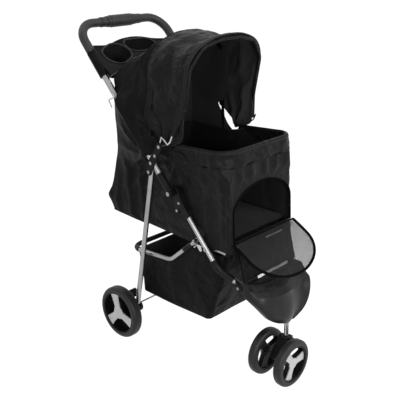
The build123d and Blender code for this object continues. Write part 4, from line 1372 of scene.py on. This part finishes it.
# %% Hoop sleeves and cabin hem
HOOP = [(-150, -104, 411), (-150, 0, 318), (-150, 187, 301),
        (150, 187, 301), (150, 0, 318), (150, -104, 411)]
FLOOR_TUBE = [(-135, -168, 403.2), (-135, 205, 413), (135, 205, 413), (135, -168, 403.2)]


def sleeve(name, route, radius):
    """A cloth tube round a length of frame tube."""
    return piping(name, route, radius, OXFORD, sides=12)


hoop_route = evenly(rounded_route(HOOP, [45, 48, 48, 45]), 6)
hoop_sleeve = sleeve("hoop_rear_sleeve", [point for point in hoop_route if point.y > 141], 8.0)
front_runs = [[point for point in hoop_route if point.x * side > 0 and -92 < point.y < -58]
              for side in (-1, 1)]
strap_sleeves = join_pieces(
    "hoop_strap_sleeves", [sleeve("strap_sleeve", run, 7.8) for run in front_runs])
hem_sleeve = sleeve("cabin_hem", evenly(rounded_route(FLOOR_TUBE, [45, 45]), 8), 7.6)
fit(hoop_sleeve, "basket_hoop")
fit(strap_sleeves, "basket_hoop")
fit(hem_sleeve, "front_frame")

# %% [markdown]
# ### The apron
# Below the doorway a stiff panel of the same cloth slopes forward to the shield, and its tail
# lies over the shield's edge. Pale tapes show at a slot under its upper edge and above the
# tail. The tail could be measured from drawings. Here rays find the shield's face, and the
# cloth is laid 1.6 mm in front of it.

# %% Apron
APRON_HALF, APRON_TOP, APRON_LOW = 118.0, (-237.2, 430.0), (-266.2, 324.0)
SLOT_LOW_X, SLOT_HIGH_X, SLOT_Z, SLOT_HALF = 0.0, 80.0, 419.6, 1.8


def lay_apron(u, v):
    """The panel from its upper edge to the shield, a little crowned."""
    x = APRON_HALF * (2 * u - 1)
    crown = 3.0 * (1 - (x / APRON_HALF) ** 2) * math.sin(math.pi * v)
    y, z = (top + (low - top) * v for top, low in zip(APRON_TOP, APRON_LOW))
    return x, y - crown, z


def fold_apron(u, v, point):
    """Almost flat: shallow dents only."""
    edge = math.sin(math.pi * v) * ease(0.0, 0.1, u) * ease(1.0, 0.9, u)
    return edge * (ripple(point, 60, 2) * 1.6 + ripple(point, 24, 5) * 0.5)


def in_slot(x, y, z):
    """Whether a point is in the slot under the apron's upper edge."""
    return SLOT_LOW_X < x < SLOT_HIGH_X and abs(z - SLOT_Z) < SLOT_HALF


apron = cloth_panel("front_apron_panel", 80, 54, lay_apron, (0.236, 0.110), fold_apron)
cut_faces(apron, in_slot)
thicken(apron, 2.2)
print("apron points:", len(apron.data.vertices))

# %% Apron tail
TAIL_HALF, TAIL_START, TAIL_GAP, BROW_TOP, BEND_SHARE = 112.0, -268.6, 1.6, 316.0, 0.6


def brow_y(x, z):
    """Front face of the shield's upper edge at a distance across and a height."""
    shield = frame["nodes"]["front_shield"]
    hit, place, _, _ = shield.ray_cast(mm(x, -500, z), Vector((0, 1, 0)))
    return place.y * 1000 if hit else -270.0


def lay_tail(u, v):
    """Below the apron: its end, over the shield's edge and a little down it."""
    x = TAIL_HALF * (2 * u - 1)
    edge = brow_y(x, BROW_TOP) - TAIL_GAP
    if v < BEND_SHARE:
        part = v / BEND_SHARE
        return x, TAIL_START + (edge - TAIL_START) * part, 320.6 - 0.8 * part
    z = 319.8 - 20.0 * (v - BEND_SHARE) / (1 - BEND_SHARE)
    return x, min(edge, brow_y(x, min(z, BROW_TOP)) - TAIL_GAP), z


tail = cloth_panel("apron_tail", 70, 20, lay_tail, (0.224, 0.058))
relax(tail, 2)
thicken(tail, 1.2)
print("shield's edge in the middle, y:", round(brow_y(0.0, BROW_TOP), 1))


# %% Apron tapes and binding
def tape(name, low_x, high_x, y, z, height):
    """A flat pale tape behind a slot, sewn into the cloth."""
    def lay(u, v):
        return low_x + (high_x - low_x) * u, y - 0.28 * height * v, z - height * v

    flat = ((high_x - low_x) / 1000, height / 1000)
    strip = cloth_panel(name, 40, 3, lay, flat, finish=PALE_TAPE)
    thicken(strip, 0.8)
    return strip


apron_tapes = join_pieces("apron_tapes", [
    tape("upper_tape", SLOT_LOW_X + 2.0, SLOT_HIGH_X - 2.0, -242.9, 422.0, 4.2),
    tape("lower_tape", -66.0, 72.0, -271.8, 330.0, 8.0)])
apron_corners = [Vector((side * APRON_HALF, *end)) for side, end in
                 ((-1, APRON_TOP), (-1, APRON_LOW), (1, APRON_LOW), (1, APRON_TOP))]
apron_binding = piping("apron_binding", evenly(apron_corners, 9), 1.5, BINDING, 100)
for piece in (apron_tapes, tail, apron_binding):
    fit(piece, "front_frame")
fit(apron, "front_frame", "front_apron")

# %% [markdown]
# ### The mesh door
# The door is an open net in a bound edge. It hangs down in front, so its own weight bends it
# forward over the apron. Its threads could be modelled one by one, as thousands of bars. The
# net is a mask instead: thread where it is 1, nothing between the threads.


# %% Net finish
def netting(name, shade, pitch, open_share):
    """An open net: thread where the mask is 1, nothing between the threads."""
    material, shader = principled(name, specular=0.2, sheen=0.05)
    tree = material.node_tree
    split = tree.nodes.new("ShaderNodeSeparateXYZ")
    tree.links.new(coordinates(material, "UV"), split.inputs[0])
    threads = []
    for axis in (0, 1):
        turns = math_node(tree, "MULTIPLY", split.outputs[axis], math.tau / pitch)
        threads.append(math_node(tree, "GREATER_THAN", math_node(tree, "SINE", turns), open_share))
    mask = math_node(tree, "MAXIMUM", *threads)
    tree.links.new(mask, shader.inputs["Alpha"])
    slow = noise_node(tree, coordinates(material, "UV"), 40.0)
    tone(material, shader, slow, grey(shade), grey(shade * 1.5))
    shader.inputs["Roughness"].default_value = 0.6
    return material


NETTING = netting("door_net", 0.006, 0.0011, 0.62)
print("net finish:", NETTING.name)

# %% Mesh door
DOOR_LINE = (-238.5, 438.5)
FLAP_HALF, FLAP_STRAIGHT, FLAP_ARC, FLAP_SLOPE = 135.5, 64.0, 96.0, math.radians(32.5)


def flap_point(x, reach):
    """Point of the door at a distance across and down from its hinge line."""
    bend = 9.0 * math.sin(math.pi * min(reach / 150.0, 1.0)) * (1 - 0.5 * (x / FLAP_HALF) ** 2)
    y = DOOR_LINE[0] - reach * math.cos(FLAP_SLOPE) - bend * math.sin(FLAP_SLOPE)
    z = DOOR_LINE[1] - reach * math.sin(FLAP_SLOPE) + bend * math.cos(FLAP_SLOPE)
    return Vector((x, y, z))


def flap_reach(x):
    """How far the door's edge is from the hinge line at a distance across."""
    return FLAP_STRAIGHT + FLAP_ARC * math.sqrt(max(0.0, 1 - (x / FLAP_HALF) ** 2))


def lay_flap(u, v):
    """The net from its hinge line to its arched edge."""
    x = FLAP_HALF * math.sin((u - 0.5) * math.pi)
    return flap_point(x, 2.0 + v * (flap_reach(x) - 2.0))


flap = cloth_panel("door_net_panel", 60, 40, lay_flap, (0.264, 0.152), finish=NETTING)
flap_cut = flap.data.uv_layers.active.data
for loop in flap.data.loops:
    place = flap.data.vertices[loop.vertex_index].co
    flap_cut[loop.index].uv = (place.x, (place.y + place.z * -0.7) * 0.82)
thicken(flap, 0.5)
print("net points:", len(flap.data.vertices))

# %% [markdown]
# The door's edge is bound, and a tape holds it along its hinge line. The binding goes down
# one straight side, round the arch and up the other side, as it is sewn. The net's edge could
# be thickened instead, but a bound edge is round and far thicker than the net.

# %% Door binding
LEG_REACHES = (2, 14, 26, 38, 50)
arch_places = [FLAP_HALF * math.sin((step / 60 - 0.5) * math.pi) for step in range(61)]
flap_route = [flap_point(-FLAP_HALF, reach) for reach in LEG_REACHES]
flap_route += [flap_point(x, flap_reach(x)) for x in arch_places]
flap_route += [flap_point(FLAP_HALF, reach) for reach in reversed(LEG_REACHES)]
hinge_route = [flap_point(FLAP_HALF * (step / 10 - 1), 1.0) for step in range(21)]
flap_edges = join_pieces("door_binding", [
    piping("flap_binding", flap_route, 4.3, BINDING, 150, 10),
    piping("door_hinge_tape", hinge_route, 2.6, BINDING, 40, 10)])
fit(flap, "mesh_door", "mesh_door")
fit(flap_edges, "mesh_door")

# %% [markdown]
# ### The floor mat
# The mat is padded cloth. A block with rounded edges would look like foam. This one starts as
# such a block, and a cloth simulation with pressure inside swells it, as filling does. Its
# dents are pressed in afterwards. The remesh before the simulation keeps little of the block's
# UV map, so the mat's weave is uneven and can change a little between runs. Deep in the dark
# cabin it reads as one plain tone. A weave on object coordinates would be the even choice.

# %% Floor mat
MAT_LOW, MAT_HIGH = (-129.0, -212.0, 434.0), (129.0, 236.0, 446.0)
MAT_VOXEL, MAT_PRESSURE, MAT_STEPS, MAT_LIMIT = mm(5), 4.0, 20, mm(5)


def even_mesh(piece, voxel):
    """Give a closed piece even faces of one size."""
    take(piece)
    piece.data.remesh_voxel_size = voxel
    bpy.ops.object.voxel_remesh()


def swell(piece, pressure, steps, limit):
    """Blow a closed piece up as cloth, with each point's way limited."""
    start = [vertex.co.copy() for vertex in piece.data.vertices]
    cloth = piece.modifiers.new("swell", "CLOTH")
    cloth.settings.use_pressure = True
    cloth.settings.uniform_pressure_force = pressure
    cloth.settings.effector_weights.gravity = 0
    cloth.point_cache.frame_start = 1
    cloth.point_cache.frame_end = steps
    for step in range(1, steps + 1):
        bpy.context.scene.frame_set(step)
    finish_modifiers(piece)
    bpy.context.scene.frame_set(1)
    for vertex, place in zip(piece.data.vertices, start):
        way = vertex.co - place
        if way.length > limit:
            vertex.co = place + way.normalized() * limit


def mat_dents(point):
    """Slow dents of a mat that has been lain on."""
    return 1.2 * ripple(point, 90, 41) + 0.6 * wrinkle(point, 60, 43)


deselect()
bpy.ops.mesh.primitive_cube_add(size=1, location=(mm(*MAT_LOW) + mm(*MAT_HIGH)) / 2)
mat = bpy.context.object
mat.scale = mm(*MAT_HIGH) - mm(*MAT_LOW)
settle(mat, "floor_mat", QUILT)
add_modifier(mat, "BEVEL", width=mm(5.5), segments=3)
finish_modifiers(mat)
even_mesh(mat, MAT_VOXEL)
swell(mat, MAT_PRESSURE, MAT_STEPS, MAT_LIMIT)
add_modifier(mat, "SUBSURF", levels=1, render_levels=1)
finish_modifiers(mat)
fold_by_normal(mat, mat_dents)
take(mat)
bpy.ops.object.shade_smooth()
fit(mat, "front_frame", "floor_cushion")

# %% [markdown]
# ### Small fittings
# The bow's hinge plates are stamped from thin steel: a narrow strip, bent in its own plane.
# A block could be cut to that outline. Here the strip is drawn by extruding one edge from
# point to point, then given its thickness and a small bevel, as a stamped edge has.


# %% Stamped strips
def stamped_strip(name, path, x, width, thickness, finish):
    """A narrow plate in a plane of constant x that follows (y, z) points."""
    pairs = []
    for index, (y, z) in enumerate(path):
        before, after = path[max(index - 1, 0)], path[min(index + 1, len(path) - 1)]
        along = Vector((after[0] - before[0], after[1] - before[1])).normalized()
        square = Vector((-along.y, along.x)) * width / 2
        pairs.append((mm(x, y + square.x, z + square.y), mm(x, y - square.x, z - square.y)))
    deselect()
    bpy.ops.mesh.primitive_plane_add(size=mm(width))
    strip = bpy.context.object
    strip.name = name
    corners = (pairs[0][1], pairs[0][0], pairs[1][1], pairs[1][0])
    for vertex, place in zip(strip.data.vertices, corners):
        vertex.co = place
    end = (2, 3)
    for left, right in pairs[2:]:
        for kind in (strip.data.polygons, strip.data.edges, strip.data.vertices):
            kind.foreach_set("select", [False] * len(kind))
        for edge in strip.data.edges:
            edge.select = set(edge.vertices) == set(end)
        for index in end:
            strip.data.vertices[index].select = True
        bpy.ops.object.mode_set(mode="EDIT")
        bpy.ops.mesh.select_mode(type="EDGE")
        bpy.ops.mesh.extrude_edges_move()
        bpy.ops.object.mode_set(mode="OBJECT")
        new = [vertex.index for vertex in strip.data.vertices if vertex.select]
        for index in new:
            place = strip.data.vertices[index].co
            near = (place - strip.data.vertices[end[0]].co).length < 1e-7
            strip.data.vertices[index].co = right if near else left
        end = tuple(sorted(new, key=lambda index: (strip.data.vertices[index].co - right).length))
    add_modifier(strip, "SOLIDIFY", thickness=mm(thickness), offset=0)
    add_modifier(strip, "BEVEL", width=mm(0.4), segments=2)
    finish_modifiers(strip)
    bpy.ops.object.mode_set(mode="EDIT")
    bpy.ops.mesh.select_all(action="SELECT")
    bpy.ops.mesh.normals_make_consistent(inside=False)
    bpy.ops.object.mode_set(mode="OBJECT")
    strip.data.materials.clear()
    strip.data.materials.append(finish)
    return strip


print("stamped strips ready")

# %% Bow hinge plates
HINGE_X, HINGE_WIDTH, HINGE_THICKNESS = 180.8, 4.6, 2.2
HINGE_PATH = [(4.0, 674.0), (4.0, 691.0), (-3.0, 711.0), (-14.0, 704.0), (-27.0, 694.0),
              (-38.0, 703.0), (-46.0, 721.0)]
hinge_plates = join_pieces("bow_hinge_plates", [
    stamped_strip("hinge_plate", HINGE_PATH, x, HINGE_WIDTH, HINGE_THICKNESS, BRIGHT_STEEL)
    for x in (-HINGE_X, HINGE_X)])
fit(hinge_plates, "canopy_bow", "canopy_hinges")

# %% [markdown]
# The lower end of each handle tube turns on the fold pin inside a moulded cap. It could be
# lathed in one piece, but it has two axes. So a short cylinder lies round the pin, and a
# second one, its neck, runs up the tube. Both have rounded edges.

# %% Pivot caps
PIVOT, NECK_WAY, NECK_REACH = (173.0, -29.0, 548.0), (0.679, 0.734), 9.0


def rounded_cylinder(name, place, turn, radius, length, edge, segments):
    """A moulded cylinder with rounded edges, at a place in millimetres."""
    deselect()
    bpy.ops.mesh.primitive_cylinder_add(
        vertices=40, radius=mm(radius), depth=mm(length), rotation=turn, location=mm(*place))
    part = settle(bpy.context.object, name, BLACK_MOULDING)
    add_modifier(part, "BEVEL", width=mm(edge), segments=segments)
    finish_modifiers(part)
    bpy.ops.object.shade_smooth_by_angle(angle=math.radians(40))
    return part


cap_parts = []
for side in (-1, 1):
    x, y, z = side * PIVOT[0], PIVOT[1], PIVOT[2]
    neck_at = (x, y + NECK_WAY[0] * NECK_REACH, z + NECK_WAY[1] * NECK_REACH)
    cap_parts += [
        rounded_cylinder("pivot_cap", (x, y, z), (0, math.pi / 2, 0), 10.6, 20.4, 1.6, 3),
        rounded_cylinder("cap_neck", neck_at, (-math.atan2(*NECK_WAY), 0, 0), 10.4, 18.0, 0.6, 2)]
caps = join_pieces("handle_pivot_caps", cap_parts)
fit(caps, "handle")

# %% [markdown]
# ### The cup tray
# The tray's wells are polished by the mould and have raised lips. The wells need no new
# shape: the faces of the CAD tray that lie inside them take a second finish, glossier and
# lighter, and that lighter tone is painted light in their shade. A lip is a rounded bead that
# follows the well's outline on the tray's sloping top.

# %% Tray wells
TRAY_TILT = math.radians(30.0)
TRAY_AT = (0.0, 270.55, 886.63)
CUP_WELL, CUP_TURN, CUP_HALVES = (-84.0, 28.0), math.radians(27.0), (53.5, 40.0)
POCKET_WELL, POCKET_TURN, POCKET_HALVES = (32.0, 54.0), math.radians(-2.0), (59.5, 29.5)
WELL_TOP = 2.0


def in_tray_plane(point):
    """A point's place in the tray's plane, in millimetres, and its depth below the top."""
    y, z = point.y * 1000 - TRAY_AT[1], point.z * 1000 - TRAY_AT[2]
    cosine, sine = math.cos(TRAY_TILT), math.sin(TRAY_TILT)
    return point.x * 1000, y * cosine + z * sine, y * sine - z * cosine


def in_well(x, y, well, turn, half_length, half_width):
    """Whether a place in the tray's plane is inside a well's outline."""
    way_x, way_y = x - well[0], y - well[1]
    along = way_x * math.cos(turn) + way_y * math.sin(turn)
    across = -way_x * math.sin(turn) + way_y * math.cos(turn)
    return abs(along) < half_length and abs(across) < half_width


tray = frame["nodes"]["cup_tray"].data
tray.materials.append(TRAY_WELL_LIT)
for face in tray.polygons:
    x, y, depth = in_tray_plane(face.center)
    if depth > WELL_TOP and (in_well(x, y, CUP_WELL, CUP_TURN, *CUP_HALVES)
                             or in_well(x, y, POCKET_WELL, POCKET_TURN, *POCKET_HALVES)):
        face.material_index = 1
print("well faces:", sum(face.material_index for face in tray.polygons))


# %% Tray lips
def on_tray(x, y, lift=0.0):
    """A point of the tray's top plane, in millimetres."""
    return Vector((x, TRAY_AT[1] + y * math.cos(TRAY_TILT) - lift * math.sin(TRAY_TILT),
                   TRAY_AT[2] + y * math.sin(TRAY_TILT) + lift * math.cos(TRAY_TILT)))


def well_outline(centre, turn, length, width, radius, steps=10):
    """Points round a rounded oblong in the tray's plane."""
    points = []
    across, along = length / 2 - radius, width / 2 - radius
    for corner, (sx, sy) in enumerate(((1, 1), (-1, 1), (-1, -1), (1, -1))):
        for step in range(steps + 1):
            angle = (corner + step / steps) * math.pi / 2
            x = sx * across + radius * math.cos(angle)
            y = sy * along + radius * math.sin(angle)
            points.append(on_tray(centre[0] + x * math.cos(turn) - y * math.sin(turn),
                                  centre[1] + x * math.sin(turn) + y * math.cos(turn), 0.4))
    return points + points[:2]


def lip(name, *outline):
    """The bead round one well."""
    # The bead's lighter finish is a painted highlight.
    return piping(name, evenly(well_outline(*outline), 5), 2.6, TRAY_LIP_HIGHLIGHT, 150)


tray_lips = join_pieces("tray_lips", [
    lip("cup_lip", CUP_WELL, CUP_TURN, 110.0, 83.0, 41.4),
    lip("pocket_lip", POCKET_WELL, POCKET_TURN, 122.0, 62.0, 29.0)])
fit(tray_lips, "handle")

# %% [markdown]
# Two small rings stand at the ends of the door's hinge line. A bent wire could be drawn along
# a route, but a ring is a torus, flattened on one side where its webbing loop holds it.

# %% Door rings
RING_RADIUS, RING_WIRE, RING_LEAN = 6.5, 1.1, math.pi / 2 - 0.5


def door_ring(name, place, turn):
    """A wire ring with one flat side, standing out from the cloth."""
    deselect()
    bpy.ops.mesh.primitive_torus_add(major_segments=36, minor_segments=10,
                                     major_radius=mm(RING_RADIUS), minor_radius=mm(RING_WIRE))
    ring_piece = bpy.context.object
    for vertex in ring_piece.data.vertices:
        vertex.co.y = max(vertex.co.y, -mm(RING_RADIUS * 0.55) + vertex.co.z * 0.2)
    ring_piece.rotation_euler = (RING_LEAN, 0, turn)
    ring_piece.location = mm(*place)
    settle(ring_piece, name, DULL_STEEL)
    bpy.ops.object.shade_smooth()
    return ring_piece


door_rings = join_pieces("door_rings", [door_ring("left_ring", (-126.0, -245.0, 427.0), 0.3),
                                        door_ring("right_ring", (124.0, -245.0, 424.0), -0.2)])
fit(door_rings, "front_frame")

# %% [markdown]
# ### The cut pieces
# Each cloth piece is listed with the size it was cut to, measured along its modelled form.
# The areas are those of the cut shapes, which are smaller than the rectangles they came from.
# Both could be read off the meshes, but a stated size shows when a form has grown too large.

# %% Cut sizes
CUTS = [
    # piece, flat width and length, cut area, how it is held, what holds it, what is sewn to it
    (tub, (1.36, 0.29), 0.36, "hung", ("rim_bow", "floor_frame"), (door_piping, hem_sleeve)),
    (cabin_floor, (0.29, 0.44), None, "stretched", ("floor_frame",), ()),
    (shell, (0.84, 0.74), 0.38, "hung", ("rear_bow", "floor_frame"), (rear_sleeve, seam_cord)),
    (lining, (0.78, 0.50), 0.25, "hung", ("rear_bow",), ()),
    (hood, (1.15, 0.19), 0.135, "stretched", ("canopy_front_bow", "rear_bow"),
     (front_sleeve, brow_pipings)),
    (rim_cloth, (0.86, 0.09), 0.065, "folded", ("rim_bow",), (rim_cord,)),
    (bag, (0.70, 0.75), 0.32, "hung", ("basket_hoop", "floor_frame"),
     (hoop_sleeve, strap_sleeves)),
    (apron, (0.24, 0.115), None, "stretched", ("front_shield",),
     (apron_binding, apron_tapes, door_rings)),
    (tail, (0.226, 0.062), None, "laid", ("front_shield",), ()),
    (flap, (0.272, 0.162), 0.037, "hung", ("front_apron_panel",), (flap_edges,)),
]
for piece, flat, area, held, holders, sewn in CUTS:
    one_side = sum(face.area for face in piece.data.polygons) / 2
    print(piece.name, "one side", round(one_side, 4), "m2, flat", flat)
